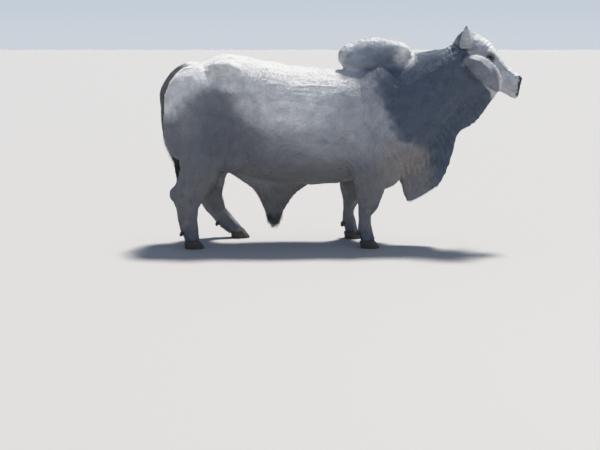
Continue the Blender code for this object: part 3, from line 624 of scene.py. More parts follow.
def open_eyes(skin):
    """Lays the lids round each eyeball and draws the skin of the opening in behind its front."""
    mesh = skin.data
    at = on_head(read(mesh.vertices, "co", 3))
    for side in SIDES.values():
        along, up, outward = eye_axes(side)
        offset = at - np.array(eye_place(side))
        a, b, c = offset @ along, offset @ up, offset @ outward
        across = np.hypot(a, b)
        near = (across < 0.040) & (c > -0.005) & (np.linalg.norm(offset, axis=1) < 0.060)
        reach = np.clip(1 - (a / LID_HALF_LENGTH) ** 2, 0, 1) ** 0.75 * LID_HALF_HEIGHT
        edge = np.where(b > 0, b - reach, -b - 0.85 * reach)
        edge = np.where(np.abs(a) > LID_HALF_LENGTH, across - LID_HALF_LENGTH + 0.001, edge)
        ball = np.sqrt(np.maximum(EYE_RADIUS**2 - across**2, 0))
        lid = np.sqrt(np.maximum((EYE_RADIUS + LID_THICKNESS) ** 2 - across**2, 0))
        rim = LID_RIM * np.exp(-(((edge - 0.0018) / 0.0016) ** 2))
        crease = LID_CREASE * np.exp(-(((edge - 0.0075) / 0.0022) ** 2)) * (0.4 + 0.6 * (b > 0))
        pull = ramp(across, 0.038, 0.023)
        closed = c * (1 - pull) + np.maximum(lid, c - 0.004) * pull + (rim + crease) * pull
        opened = ball - OPENING_SINK
        inside = ramp(edge, 0.0007, -0.0005)
        wanted = np.where(across < 0.030, closed * (1 - inside) + opened * inside, closed)
        at[near] += (wanted - c)[near, None] * outward
    mesh.vertices.foreach_set("co", from_head(at).ravel())
    mesh.update()


NOSTRIL = ((0.490, 0.070, 0.050), (0.505, 0.068, 0.064), (0.524, 0.056, 0.062), (0.540, 0.040, 0.046))
NOSTRIL_DEPTH = 0.016
NOSTRIL_WIDTH = 0.0062
NOSTRIL_RIM = 0.0024


def open_nostrils(skin):
    """Presses a curved nostril into each side of the muzzle, with a rim round it."""
    mesh = skin.data
    points = read(mesh.vertices, "co", 3)
    normals = read(mesh.vertices, "normal", 3)
    at = on_head(points)
    distance, _ = path_distance(mirrored(at), NOSTRIL)
    hole = ramp(distance, NOSTRIL_WIDTH * 1.7, NOSTRIL_WIDTH * 0.7)
    rim = np.exp(-(((distance - NOSTRIL_WIDTH * 2.3) / (NOSTRIL_WIDTH * 0.9)) ** 2))
    inward = unit(np.stack([-np.ones(len(at)), -0.5 * np.sign(at[:, 1]), -0.1 * np.ones(len(at))], 1))
    points += (NOSTRIL_DEPTH * hole)[:, None] * (inward @ HEAD_AXES.T)
    points += normals * (NOSTRIL_RIM * rim * ramp(at[:, 0], 0.44, 0.48))[:, None]
    mesh.vertices.foreach_set("co", points.ravel())
    mesh.update()


# Markings and painted light


# Where the slate of the neck ends on the side, by height
NECK_EDGE_HEIGHTS = (0.45, 0.56, 0.74, 0.80, 0.83, 0.92, 1.13, 1.32, 1.42, 1.50)
NECK_EDGE_PLACES = (0.74, 0.76, 0.70, 0.60, 0.44, 0.36, 0.31, 0.20, 0.06, 0.02)
# How far down the white of the back reaches: partly the coat's own white, partly painted sunlight on the top
# of the back and rump
BACK_EDGE_PLACES = (-1.35, -1.2, -0.95, -0.6, -0.1, 0.1)
BACK_EDGE_HEIGHTS = (1.02, 1.12, 1.29, 1.20, 1.20, 1.22)
# The top line of the hump
HUMP_CREST_PLACES = (-0.02, 0.04, 0.09, 0.21, 0.33, 0.45, 0.53, 0.57)
HUMP_CREST_HEIGHTS = (1.451, 1.531, 1.571, 1.598, 1.604, 1.587, 1.539, 1.475)
# Where the face's grey begins behind the jaw, by height on the head
JAW_HEIGHTS = (-0.20, -0.15, -0.11, -0.05, 0.04, 0.12, 0.20)
JAW_PLACES = (0.44, 0.38, 0.31, 0.20, 0.06, -0.01, -0.04)
# Where the painted sunlight on the top of the forehead and nose begins, by place along the face
NOSE_RIDGE_PLACES = (0.0, 0.1, 0.2, 0.3, 0.4, 0.5)
NOSE_RIDGE_HEIGHTS = (0.120, 0.126, 0.126, 0.100, 0.066, 0.052)


def darkness_of_neck(points):
    """1 on the slate neck, shoulder front and dewlap, fading over the shoulder."""
    x, z = points[:, 0], points[:, 2]
    edge = np.interp(z, NECK_EDGE_HEIGHTS, NECK_EDGE_PLACES)
    wander = 0.045 * waves(points, 0.35, 11) + 0.02 * waves(points, 0.09, 12)
    core = ramp(x - edge + wander, -0.09, 0.12)
    veil = ramp(x - edge + wander, -0.42, 0.02)
    return np.maximum(core, 0.30 * veil)


def coat_colour(points):
    """The bull's markings, with painted sunlight and shade on some parts, from a point's place alone."""
    x, z = points[:, 0], points[:, 2]
    y = np.abs(points[:, 1])
    legs = leg_share(points)
    colour = np.tile(np.array(SILVER), (len(points), 1))
    drift = 0.05 * waves(points, 0.30, 21)
    colour = mix(colour, ASH, 0.92 * ramp(z + drift, 0.98, 0.66))
    colour = mix(colour, THIGH_GREY, 0.95 * blob(points, (-0.93, 0.28, 0.90), (0.42, 0.36, 0.56)) ** 0.5)
    colour = mix(colour, THIGH_GREY, 0.60 * blob(points, (-0.60, 0.28, 0.72), (0.40, 0.30, 0.34)))
    colour = mix(colour, THIGH_GREY, 0.80 * ramp(x, -1.16, -1.28) * ramp(z + drift, 1.22, 1.08))
    # The white along the back and rump is partly the coat's own colour and partly painted sunlight on the top
    edge = np.interp(x, BACK_EDGE_PLACES, BACK_EDGE_HEIGHTS)
    white = ramp(z + drift * 0.8 + 0.012 * waves(points, 0.07, 23), edge - 0.07, edge + 0.06)
    white = white * ramp(x + drift, 0.20, 0.06)
    # Painted sunlight: a whiter patch on the upper flank behind the shoulder, where the sun falls on the side
    patch = blob(points, (-0.42, 0.32, 1.14), (0.42, 0.30, 0.24)) ** 0.4
    white = np.maximum(white, patch * (0.92 + 0.22 * waves(points, 0.09, 34)))
    colour = mix(colour, WHITE, np.clip(white, 0, 1))
    colour = mix(colour, LEG_GREY, 0.85 * legs)
    colour = mix(colour, EARTH_GREY, 0.9 * blob(points, (0.52, 0.05, 0.66), (0.34, 0.40, 0.26)) ** 0.5)
    dark = darkness_of_neck(points)
    hump = ramp(z, 1.36, 1.43) * ramp(x, 0.585, 0.560) * ramp(x, 0.00, 0.05)
    colour = mix(colour, SLATE, np.clip(dark * (1 - hump), 0, 1))
    colour = mix(colour, HUMP_GREY, hump)
    under = ramp(z + 0.02 * waves(points, 0.10, 38), 1.53, 1.44) * ramp(x, 0.16, 0.30)
    colour = mix(colour, SLATE, 0.75 * hump * under)
    colour = mix(colour, SILVER, 0.3 * hump * ramp(x, 0.22, 0.05))
    # Painted sunlit rim: white mixed in along the hump's top line
    crest = np.interp(x, HUMP_CREST_PLACES, HUMP_CREST_HEIGHTS) + 0.012 * waves(points, 0.08, 39)
    colour = mix(colour, WHITE, 0.62 * hump * ramp(z - crest, -0.070, -0.018))
    # Painted highlights: silver streaks over the nape, standing in for its wrinkles lit from behind
    nape = blob(points, (0.868, 0, 1.52), (0.050, 0.20, 0.12)) ** 0.5
    colour = mix(colour, SILVER, 0.75 * nape * ramp(waves(points, 0.04, 37), -0.5, 0.7))
    # The pale lobe at the hump's front is partly its pale hair and partly painted sunlight
    lobe = blob(points, (0.500, 0, 1.475), (0.115, 0.24, 0.125)) ** 0.4 * hump
    colour = mix(colour, PALE_LOBE, np.clip(0.85 * lobe + 0.2 * lobe * waves(points, 0.05, 24), 0, 1))
    sheath = ramp(z + drift * 0.6, 0.50, 0.40) * ramp(y, 0.16, 0.10) * ramp(x, 0.0, -0.15)
    colour = mix(colour, SHEATH_GREY, 0.8 * sheath)
    # Painted shade: the tail is coloured dark grey where it hangs in shade against the lit rump
    colour = mix(colour, TAIL_PAINTED_SHADE, 0.95 * tail_share(points))
    feet = ramp(z + drift, 0.66, 0.52) * legs
    colour = mix(colour, EARTH_GREY, 0.35 * feet * (0.5 + 0.5 * waves(points, 0.06, 25)))
    colour = mix(colour, SLATE, 0.55 * ramp(z, 0.20, 0.09) * legs)
    colour = face_colour(points, colour)
    return colour * (1 + 0.07 * waves(points, 0.11, 26) + 0.05 * waves(points, 0.03, 27))[:, None]


NOSE_LEAN = 0.42  # the nose's front leans back by this much for each metre up


def nose_share(at, wander=0.0):
    """1 on the bare nose and lips at the front of the muzzle."""
    front = at[:, 0] + NOSE_LEAN * at[:, 2] + wander
    return ramp(front, 0.524, 0.542) * ramp(at[:, 2], -0.078, -0.055)


def face_colour(points, colour):
    at = on_head(points)
    along, up = at[:, 0], at[:, 2]
    jaw = np.interp(up, JAW_HEIGHTS, JAW_PLACES)
    head = head_share(points) * ramp(along - jaw + 0.012 * waves(points, 0.06, 29), -0.012, 0.022)
    colour = mix(colour, FACE_GREY, head)
    ridge = np.interp(along, NOSE_RIDGE_PLACES, NOSE_RIDGE_HEIGHTS)
    streaks = 0.020 * waves(points, 0.045, 35)
    # Painted sunlight: white on the top of the forehead and nose, where the light from behind and above falls
    top = ramp(up + streaks - ridge, 0.0, 0.030) * ramp(along, 0.02, 0.07)
    colour = mix(colour, WHITE, 0.80 * head * top)
    below = ramp(up, ridge, ridge - 0.02)
    colour = mix(colour, CHEEK_GREY, head * below * np.maximum(ramp(along, 0.27, 0.38), ramp(up, 0.0, -0.06)))
    throat = ramp(up, -0.085, -0.120) * ramp(along, 0.37, 0.30)
    colour = mix(colour, ASH, 0.75 * head * throat)
    colour = mix(colour, SLATE, 0.8 * head * ramp(eye_distance(at), 0.046, 0.026))
    ears = ear_share(points)
    rise = ear_rise(at) + 0.02 * waves(points, 0.05, 30)
    colour = mix(colour, EAR_GREY, ears)
    # Painted sunlight: a pale patch on the upper part of the ear's back, where the sun falls on it
    ear_sunlit = ramp(along, 0.09, 0.14) * ramp(along + 0.01 * waves(points, 0.03, 36), 0.31, 0.25)
    ear_sunlit = ear_sunlit * ramp(rise, 0.34, 0.52)
    colour = mix(colour, EAR_PAINTED_SUN, ears * ear_sunlit)
    # White along the ear's front rim: partly its pale fringe hair and partly painted rim light
    colour = mix(colour, WHITE, ears * ramp(rise, 0.86, 0.97) * ramp(along, 0.10, 0.22))
    return mix(colour, MUZZLE_BLACK, head * nose_share(at, 0.008 * waves(points, 0.02, 28)))


# Materials


def new_material(name, roughness, colour=None):
    material = bpy.data.materials.new(name)
    material.use_nodes = True
    nodes, links = material.node_tree.nodes, material.node_tree.links
    shader = nodes["Principled BSDF"]
    shader.inputs["Roughness"].default_value = roughness
    shader.inputs["IOR"].default_value = 1.45
    if colour:
        shader.inputs["Base Color"].default_value = (*colour, 1)
    return material, nodes, links, shader


def object_pattern(nodes, links, scale=(1, 1, 1)):
    """Object coordinates stretched by scale."""
    place = nodes.new("ShaderNodeTexCoord")
    stretch = nodes.new("ShaderNodeMapping")
    stretch.inputs["Scale"].default_value = scale
    links.new(place.outputs["Object"], stretch.inputs["Vector"])
    return stretch.outputs["Vector"]


def noise(nodes, links, vector, scale, detail=4.0, roughness=0.6):
    found = nodes.new("ShaderNodeTexNoise")
    found.inputs["Scale"].default_value = scale
    found.inputs["Detail"].default_value = detail
    found.inputs["Roughness"].default_value = roughness
    links.new(vector, found.inputs["Vector"])
    return found.outputs["Fac"]


def spread(nodes, links, value, low, high, to_low, to_high):
    """Maps value from low..high to to_low..to_high."""
    found = nodes.new("ShaderNodeMapRange")
    for name, number in zip(("From Min", "From Max", "To Min", "To Max"), (low, high, to_low, to_high)):
        found.inputs[name].default_value = number
    links.new(value, found.inputs["Value"])
    return found.outputs["Result"]


def multiply_colour(nodes, links, colour, factor):
    found = nodes.new("ShaderNodeVectorMath")
    found.operation = "SCALE"
    links.new(colour, found.inputs["Vector"])
    links.new(factor, found.inputs["Scale"])
    return found.outputs["Vector"]


def bump(nodes, links, height, distance, strength=1.0, normal=None):
    found = nodes.new("ShaderNodeBump")
    found.inputs["Distance"].default_value = distance
    found.inputs["Strength"].default_value = strength
    links.new(height, found.inputs["Height"])
    if normal:
        links.new(normal, found.inputs["Normal"])
    return found.outputs["Normal"]


def tinted(nodes, links, shade):
    """The mesh's stored colour times shade."""
    found = nodes.new("ShaderNodeAttribute")
    found.attribute_name = TINT
    return multiply_colour(nodes, links, found.outputs["Color"], shade)


def skin_material():
    """Markings and painted light from the mesh, with the grain of short hair and of the hide under it."""
    material, nodes, links, shader = new_material("hide", 0.78)
    grain = object_pattern(nodes, links, (70, 260, 190))
    hair = noise(nodes, links, grain, 1.0, 5.0, 0.7)
    hide = noise(nodes, links, object_pattern(nodes, links), 85.0, 6.0, 0.65)
    blotch = noise(nodes, links, object_pattern(nodes, links), 14.0, 5.0, 0.6)
    shade = spread(nodes, links, hair, 0.25, 0.75, 0.72, 1.16)
    colour = tinted(nodes, links, shade)
    colour = multiply_colour(nodes, links, colour, spread(nodes, links, blotch, 0.3, 0.7, 0.88, 1.08))
    links.new(colour, shader.inputs["Base Color"])
    rough = bump(nodes, links, hide, 0.0012, 0.6)
    links.new(bump(nodes, links, hair, 0.0016, 0.7, rough), shader.inputs["Normal"])
    links.new(spread(nodes, links, hide, 0.3, 0.7, 0.68, 0.88), shader.inputs["Roughness"])
    return material


def coat_material(name, roughness):
    material, nodes, links, shader = new_material(name, roughness)
    fleck = noise(nodes, links, object_pattern(nodes, links), 240.0, 3.0)
    shade = spread(nodes, links, fleck, 0.3, 0.7, 0.86, 1.12)
    links.new(tinted(nodes, links, shade), shader.inputs["Base Color"])
    shader.inputs["Sheen Weight"].default_value = 0.15
    shader.inputs["Sheen Roughness"].default_value = 0.5
    return material


def horn_material():
    material, nodes, links, shader = new_material("horn_sheath", 0.5)
    fibres = noise(nodes, links, object_pattern(nodes, links, (210, 210, 9)), 1.0, 4.0, 0.6)
    pits = noise(nodes, links, object_pattern(nodes, links), 60.0, 5.0, 0.6)
    shade = spread(nodes, links, fibres, 0.25, 0.75, 0.82, 1.14)
    links.new(tinted(nodes, links, shade), shader.inputs["Base Color"])
    rough = bump(nodes, links, pits, 0.0010, 0.5)
    links.new(bump(nodes, links, fibres, 0.0008, 0.6, rough), shader.inputs["Normal"])
    links.new(spread(nodes, links, pits, 0.3, 0.7, 0.42, 0.62), shader.inputs["Roughness"])
    return material


def eye_material():
    material, nodes, links, shader = new_material("eyeball", 0.08)
    veins = noise(nodes, links, object_pattern(nodes, links), 420.0, 4.0)
    shade = spread(nodes, links, veins, 0.3, 0.7, 0.8, 1.15)
    links.new(tinted(nodes, links, shade), shader.inputs["Base Color"])
    shader.inputs["Coat Weight"].default_value = 1.0
    shader.inputs["Coat Roughness"].default_value = 0.02
    return material


# The coat


def lie(points, normals):
    """The way the hair lies at each point: back and down on the body, towards the muzzle on the face."""
    way = np.tile(np.array((-1.0, 0.0, -0.42)), (len(points), 1))
    x = points[:, 0]
    way = mix(way, (-0.55, 0.0, -1.0), ramp(x, 0.35, 0.65))
    way = mix(way, (-0.25, 0.0, -1.0), ramp(points[:, 2], 0.80, 0.55) * ramp(x, 0.35, 0.5))
    way = mix(way, (0.0, 0.0, -1.0), leg_share(points))
    on_face = head_share(points) * ramp(on_head(points)[:, 0], 0.0, 0.06)
    way = mix(way, HEAD_AXES @ (1.0, 0.0, -0.25), on_face)
    way = mix(way, HEAD_AXES @ (1.0, 0.05, -0.35), ear_share(points))
    way = mix(way, (-0.15, 0.0, -1.0), tail_share(points))
    way[:, 1] += 0.28 * waves(points, 0.25, 31)
    way[:, 0] += 0.22 * waves(points, 0.18, 32)
    way[:, 2] += 0.18 * waves(points, 0.12, 33)
    way -= normals * (way * normals).sum(1, keepdims=True)
    return unit(way)


BODY_HAIR = 0.0150
LOW_HAIR_MORE = 0.004  # how much longer it is under the belly
LEG_HAIR = 0.0105
FOOT_HAIR = 0.0075
FACE_HAIR = 0.0080
MUZZLE_HAIR = 0.0042
EAR_HAIR = 0.0095


def tuft_length(points):
    """Length of the coat's hair, shortest on the face and feet."""
    height = points[:, 2]
    legs, head = leg_share(points), head_share(points)
    length = BODY_HAIR + LOW_HAIR_MORE * ramp(height, 0.62, 0.45)
    places = (
        (LEG_HAIR, legs),
        (FOOT_HAIR, ramp(height, 0.24, 0.12) * legs),
        (FACE_HAIR, head),
        (MUZZLE_HAIR, head * ramp(on_head(points)[:, 0], 0.36, 0.47)),
        (EAR_HAIR, ear_share(points)),
    )
    for hair, share in places:
        length = length + (hair - length) * share
    return length


def bare(points):
    """1 where no coat grows: on the nose and its nostrils, and in the eyes."""
    at = on_head(points)
    along, up, outward = eye_axes(SIDES["left"])
    offset = mirrored(at) - np.array(EYE_PLACE)
    a, b, c = offset @ along, offset @ up, offset @ outward
    almond = (np.abs(a) < LID_HALF_LENGTH + 0.002) & (np.abs(b) < LID_HALF_HEIGHT + 0.0012) & (c > 0)
    return np.maximum(nose_share(at), almond.astype(float))


def scatter(skin, count, density, seed):
    """Random places on the skin: points, normals and places on its unwrap, denser where density says."""
    rng = np.random.default_rng(seed)
    mesh = skin.data
    mesh.calc_loop_triangles()
    corners = read(mesh.loop_triangles, "vertices", 3, np.int32)
    loops = read(mesh.loop_triangles, "loops", 3, np.int32)
    points = read(mesh.vertices, "co", 3)
    normals = read(mesh.vertices, "normal", 3)
    unwrap = read(mesh.uv_layers[0].data, "uv", 2)
    first, second, third = (points[corners[:, k]] for k in range(3))
    cross = np.cross(second - first, third - first)
    weight = np.linalg.norm(cross, axis=1) * density(points[corners].mean(1))
    chosen = np.searchsorted(np.cumsum(weight) / weight.sum(), rng.random(count))
    share = rng.dirichlet((1, 1, 1), count)[:, :, None]
    return (
        (points[corners[chosen]] * share).sum(1),
        unit((normals[corners[chosen]] * share).sum(1)),
        (unwrap[loops[chosen]] * share).sum(1),
    )


def coat_density(points):
    """Shorter hair stands closer together."""
    reach = tuft_length(points) / BODY_HAIR
    return (1 - bare(points)) / np.clip(reach, 0.4, 1.2) ** 1.5


PATCH = 0.003  # a tuft's patch on the unwrap
ROOT_DEPTH = 0.0006  # a tuft's root under the skin
TUFT_WIDTH = 0.17  # of its length
TUFT_HEIGHT = 0.42  # of its width
TUFT_TOP = 0.18  # where it is thickest, as a share of its length


def many(name, forms, corners, colours, spots, unwrap, material):
    """One piece of many small forms alike: their points, the corners of one form, colours of all their
    points, each corner's spot in a form's patch, and the patches' places on the unwrap."""
    start = forms.shape[1] * np.arange(len(forms))[:, None, None]
    mesh = mesh_from_arrays(name, forms.reshape(-1, 3), (start + corners).reshape(-1, 3))
    set_colours(mesh, colours)
    places = unwrap[:, None, None, :] + (spots * PATCH)[corners][None]
    mesh.uv_layers.new(name="OFBake").data.foreach_set("uv", places.astype(np.float32).ravel())
    mesh.materials.append(material)
    return link(name, mesh)


def tufts(name, roots, normals, unwrap, ways, lengths, widths, lifts, colours, material):
    """Closed slivers, each with a three-cornered root and a tip, lying along ways over the skin."""
    side = unit(np.cross(normals, ways))
    tip_way = unit(ways + normals * lifts[:, None])
    base = roots - normals * ROOT_DEPTH
    half = side * widths[:, None] / 2
    ridge = base + normals * (widths * TUFT_HEIGHT)[:, None] + ways * (lengths * TUFT_TOP)[:, None]
    forms = np.stack([base - half, base + half, ridge, roots + tip_way * lengths[:, None]], 1)
    corners = np.array(((0, 2, 1), (0, 3, 2), (1, 2, 3), (0, 1, 3)))
    spots = np.array(((-0.5, 0), (0.5, 0), (0, 0.3), (0, 1)))
    piece = many(name, forms, corners, np.repeat(colours, 4, axis=0), spots, unwrap, material)
    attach(piece, "root")


def grow_coat(skin):
    rng = np.random.default_rng(3)
    roots, normals, unwrap = scatter(skin, TUFTS, coat_density, 1)
    ways = lie(roots, normals)
    side = np.cross(normals, ways)
    ways = unit(ways + side * rng.normal(0, 0.16, len(roots))[:, None])
    lengths = tuft_length(roots) * rng.uniform(0.7, 1.25, len(roots))
    widths = np.clip(lengths * TUFT_WIDTH, 0.0009, 0.0030) * rng.uniform(0.8, 1.2, len(roots))
    lifts = rng.uniform(0.04, 0.24, len(roots))
    colours = coat_colour(roots) * rng.normal(1.04, 0.10, len(roots)).clip(0.7, 1.35)[:, None]
    order = np.argsort(roots[:, 0])
    material = coat_material("short_coat", 0.62)
    for index, start in enumerate(range(0, len(order), TUFTS_IN_PIECE)):
        some = order[start : start + TUFTS_IN_PIECE]
        fields = (field[some] for field in (roots, normals, unwrap, ways, lengths, widths, lifts, colours))
        tufts(f"coat_{index + 1}", *fields, material)


def strands(name, paths, widths, colours, unwrap, material):
    """Thin three-sided hairs along paths, given as strands by steps by coordinates, closed at both ends."""
    count, steps, _ = paths.shape
    ahead = np.gradient(paths, axis=1)
    ahead /= np.linalg.norm(ahead, axis=2, keepdims=True)
    side = np.cross(ahead, np.array((0.21, 0.95, 0.13)))
    side /= np.linalg.norm(side, axis=2, keepdims=True)
    other = np.cross(ahead, side)
    taper = np.sin(np.linspace(0.35, 1.0, steps) * math.pi) ** 0.6
    taper[-1] = 0.02
    size = widths[:, None, None] / 2 * taper[None, :, None]
    turns = np.arange(3) * math.tau / 3
    rings = [paths + size * (math.cos(turn) * side + math.sin(turn) * other) for turn in turns]
    forms = np.stack(rings, 2).reshape(count, -1, 3)
    ring = 3 * np.arange(steps - 1)[:, None]
    quads = []
    for a, b in ((0, 1), (1, 2), (2, 0)):
        quads.append(np.concatenate([ring + a, ring + b, ring + 3 + b], 1))
        quads.append(np.concatenate([ring + a, ring + 3 + b, ring + 3 + a], 1))
    last = 3 * (steps - 1)
    corners = np.concatenate([*quads, np.array(((0, 2, 1), (last, last + 1, last + 2)))])
    shade = np.linspace(0.75, 1.25, steps)
    tint = colours[:, None, None, :] * shade[None, :, None, None] * np.ones((1, 1, 3, 1))
    rise = np.repeat(np.linspace(0, 1, steps), 3)
    across = np.tile((-0.5, 0.0, 0.5), steps)
    spots = np.stack([across, rise], 1)
    piece = many(name, forms, corners, tint.reshape(-1, 3), spots, unwrap, material)
    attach(piece, "root")
    return piece


Fringe = namedtuple("Fringe", "name count where length width way lift droop colour")


def ear_way(at, normals):
    rise = ear_rise(at)
    way = np.stack([0.9 - 0.35 * np.abs(rise), 0.1 * np.sign(at[:, 1]), 0.9 * rise - 0.15], 1)
    return way @ HEAD_AXES.T


def down(at, normals):
    return np.tile(np.array((0.0, 0.0, -1.0)), (len(at), 1)) + 0.3 * normals


def forward(at, normals):
    return np.stack([np.ones(len(at)), 0.5 * at[:, 1] / 0.08, 0.25 * np.ones(len(at))], 1) @ HEAD_AXES.T


def on_ear_rim(points):
    rise = ear_rise(on_head(points))
    return ear_share(points) * (ramp(rise, 0.80, 0.95) + 0.8 * ramp(rise, -0.84, -0.96))


def on_poll(points):
    at = on_head(points)
    spot = np.hypot((at[:, 0] - 0.01) / 0.060, at[:, 1] / 0.075)
    return ramp(spot, 1.0, 0.6) * ramp(at[:, 2], 0.10, 0.13)


def on_sheath_tip(points):
    x, y, z = points.T
    return ramp(z, 0.27, 0.19) * ramp(np.abs(y), 0.14, 0.10) * ramp(x, -0.2, -0.3)


def on_coronets(points):
    return ramp(points[:, 2], 0.105, 0.088) * leg_share(points)


def round_horns(points):
    distance, along = path_distance(mirrored(on_head(points)), HORN_LINE)
    return ramp(along, 0.18, 0.24) * ramp(along, 0.36, 0.31) * ramp(distance, 0.085, 0.075)


def on_tail_end(points):
    return tail_share(points) * ramp(points[:, 2], 0.92, 0.74)


FRINGES = (
    Fringe("ear_fringe", 4200, on_ear_rim, 0.020, 0.0011, ear_way, 0.10, 0.15, None),
    Fringe("poll_hair", 2600, on_poll, 0.030, 0.0013, forward, 0.25, 0.25, None),
    Fringe("horn_hair", 2200, round_horns, 0.020, 0.0012, forward, 0.20, 0.10, None),
    Fringe("sheath_hair", 700, on_sheath_tip, 0.055, 0.0014, down, 0.10, 0.2, (0.09, 0.085, 0.085)),
    Fringe("coronet_hair", 3800, on_coronets, 0.022, 0.0013, down, 0.12, 0.1, None),
    # The tail's long hair is dark like the tail's coat: the same painted shade
    Fringe("tail_hair", 1500, on_tail_end, 0.060, 0.0014, down, 0.05, 0.2, (0.12, 0.115, 0.115)),
)
FRINGE_STEPS = 5


def grow_fringes(skin, material):
    """Longer hair where it breaks the form."""
    t = np.linspace(0, 1, FRINGE_STEPS)[None, :, None]
    for index, row in enumerate(FRINGES):
        rng = np.random.default_rng(60 + index)
        count = row.count
        roots, normals, unwrap = scatter(skin, count, row.where, 70 + index)
        ways = row.way(on_head(roots), normals) + rng.normal(0, 0.22, (count, 3))
        ways = unit(ways - 0.8 * normals * (ways * normals).sum(1, keepdims=True) + row.lift * normals)
        lengths = (row.length * rng.uniform(0.5, 1.15, count))[:, None, None]
        paths = roots[:, None] - 0.001 * normals[:, None] + ways[:, None] * lengths * t
        paths[:, :, 2] -= (row.droop * lengths * t**2)[:, :, 0]
        shade = rng.uniform(0.75, 1.35, count)[:, None]
        colours = shade * (coat_colour(roots) if row.colour is None else np.array(row.colour))
        widths = row.width * rng.uniform(0.7, 1.2, count)
        piece = strands(row.name, paths, widths, colours, unwrap, material)


LASHES = 46
LASH_LENGTH = 0.012


def grow_lashes(material):
    """Lashes along both upper lids."""
    rng = np.random.default_rng(77)
    t = np.linspace(0, 1, FRINGE_STEPS)
    paths = []
    for side in SIDES.values():
        along, up, outward = eye_axes(side)
        centre = np.array(eye_place(side))
        for a in np.linspace(-0.86, 0.86, LASHES) * LID_HALF_LENGTH:
            b = (1 - (a / LID_HALF_LENGTH) ** 2) ** 0.75 * LID_HALF_HEIGHT
            c = math.sqrt((EYE_RADIUS + 0.0035) ** 2 - a * a - b * b)
            root = centre + a * along + b * up + c * outward
            way = outward + 0.35 * (a / LID_HALF_LENGTH) * along - 0.25 * up + rng.normal(0, 0.12, 3)
            length = LASH_LENGTH * rng.uniform(0.7, 1.1)
            paths.append([root + length * (way * s - up * 0.35 * s**2) for s in t])
    paths = from_head(np.array(paths))
    count = len(paths)
    colours = np.tile(np.array((0.03, 0.03, 0.03)), (count, 1))
    piece = strands("lashes", paths, np.full(count, 0.0009), colours, np.full((count, 2), 0.5), material)


# The switch's middle line and half width, by height
SWITCH_LINE_HEIGHTS = (0.30, 0.36, 0.45, 0.54, 0.62, 0.72)
SWITCH_LINE_PLACES = (-1.241, -1.244, -1.249, -1.259, -1.275, -1.299)
SWITCH_HALF_HEIGHTS = (0.30, 0.38, 0.46, 0.56, 0.64, 0.72)
SWITCH_HALF = (0.006, 0.025, 0.033, 0.031, 0.021, 0.012)
SWITCH_STEPS = 9


def grow_switch(material):
    """The long hair at the end of the tail, inside the switch's solid."""
    rng = np.random.default_rng(8)
    low, high = (np.array(corner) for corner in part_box("tail_switch"))
    count = SWITCH_STRANDS
    t = np.linspace(0, 1, SWITCH_STEPS)
    top = high[2] + 0.03
    reach = rng.uniform(0.35, 1.0, count) ** 0.6
    angle = rng.uniform(0, math.tau, count)
    radius = np.sqrt(rng.uniform(0, 1, count))
    start_at = rng.uniform(0, 0.55, count)
    paths = np.empty((count, SWITCH_STEPS, 3))
    for index in range(SWITCH_STEPS):
        fall = start_at + (reach - start_at) * t[index]
        fall = np.where(reach > start_at, fall, start_at + 0.3 * t[index])
        z = top + (low[2] - top) * fall
        line = np.interp(z, SWITCH_LINE_HEIGHTS, SWITCH_LINE_PLACES)
        wide = np.interp(z, SWITCH_HALF_HEIGHTS, SWITCH_HALF)
        turn = angle + 0.5 * fall * np.sin(7 * angle)
        paths[:, index, 0] = line + wide * radius * np.cos(turn) + 0.004 * np.sin(9 * fall + 5 * angle)
        paths[:, index, 1] = 0.055 + 0.9 * wide * radius * np.sin(turn) + 0.003 * np.sin(8 * fall + 3 * angle)
        paths[:, index, 2] = z
    colours = np.array((0.060, 0.058, 0.060)) * rng.uniform(0.6, 1.7, count)[:, None]
    unwrap = np.stack([0.02 + 0.10 * radius, 0.02 + 0.10 * angle / math.tau], 1)
    piece = strands("switch_hair", paths, rng.uniform(0.0012, 0.0024, count), colours, unwrap, material)
    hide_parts("tail_switch")


# Horns, eyes and hooves


def smooth_line(rows, count):
    """Places on a smooth curve through rows."""
    rows = np.array(rows, float)
    padded = np.concatenate([2 * rows[:1] - rows[1:2], rows, 2 * rows[-1:] - rows[-2:-1]])
    places = np.linspace(0, len(rows) - 1, count)
    index = np.minimum(places.astype(int), len(rows) - 2)
    t = (places - index)[:, None]
    before, start, end, after = (padded[index + k] for k in range(4))
    curve = 2 * start + (end - before) * t + (2 * before - 5 * start + 4 * end - after) * t**2
    return 0.5 * (curve + (3 * start - before - 3 * end + after) * t**3)


def loft(bm, rings):
    """Skins loops of vertices one after another and closes both ends."""
    loops = []
    for ring in rings:
        members = set(ring)
        loops.append([e for e in {e for v in ring for e in v.link_edges} if set(e.verts) <= members])
    for first, second in zip(loops, loops[1:]):
        bmesh.ops.bridge_loops(bm, edges=first + second)
    for ring in (rings[0], rings[-1]):
        bm.faces.new(ring)
    bmesh.ops.recalc_face_normals(bm, faces=bm.faces)


HORN_RINGS = 56
HORN_SIDES = 48
HORN_GROOVES = 11
GROOVE_DEPTH = 0.018  # of the horn's radius
COLLAR_INSET = 0.004  # the horn is thinner by this much inside the skin's collar
HORN_WEAR = 0.0008


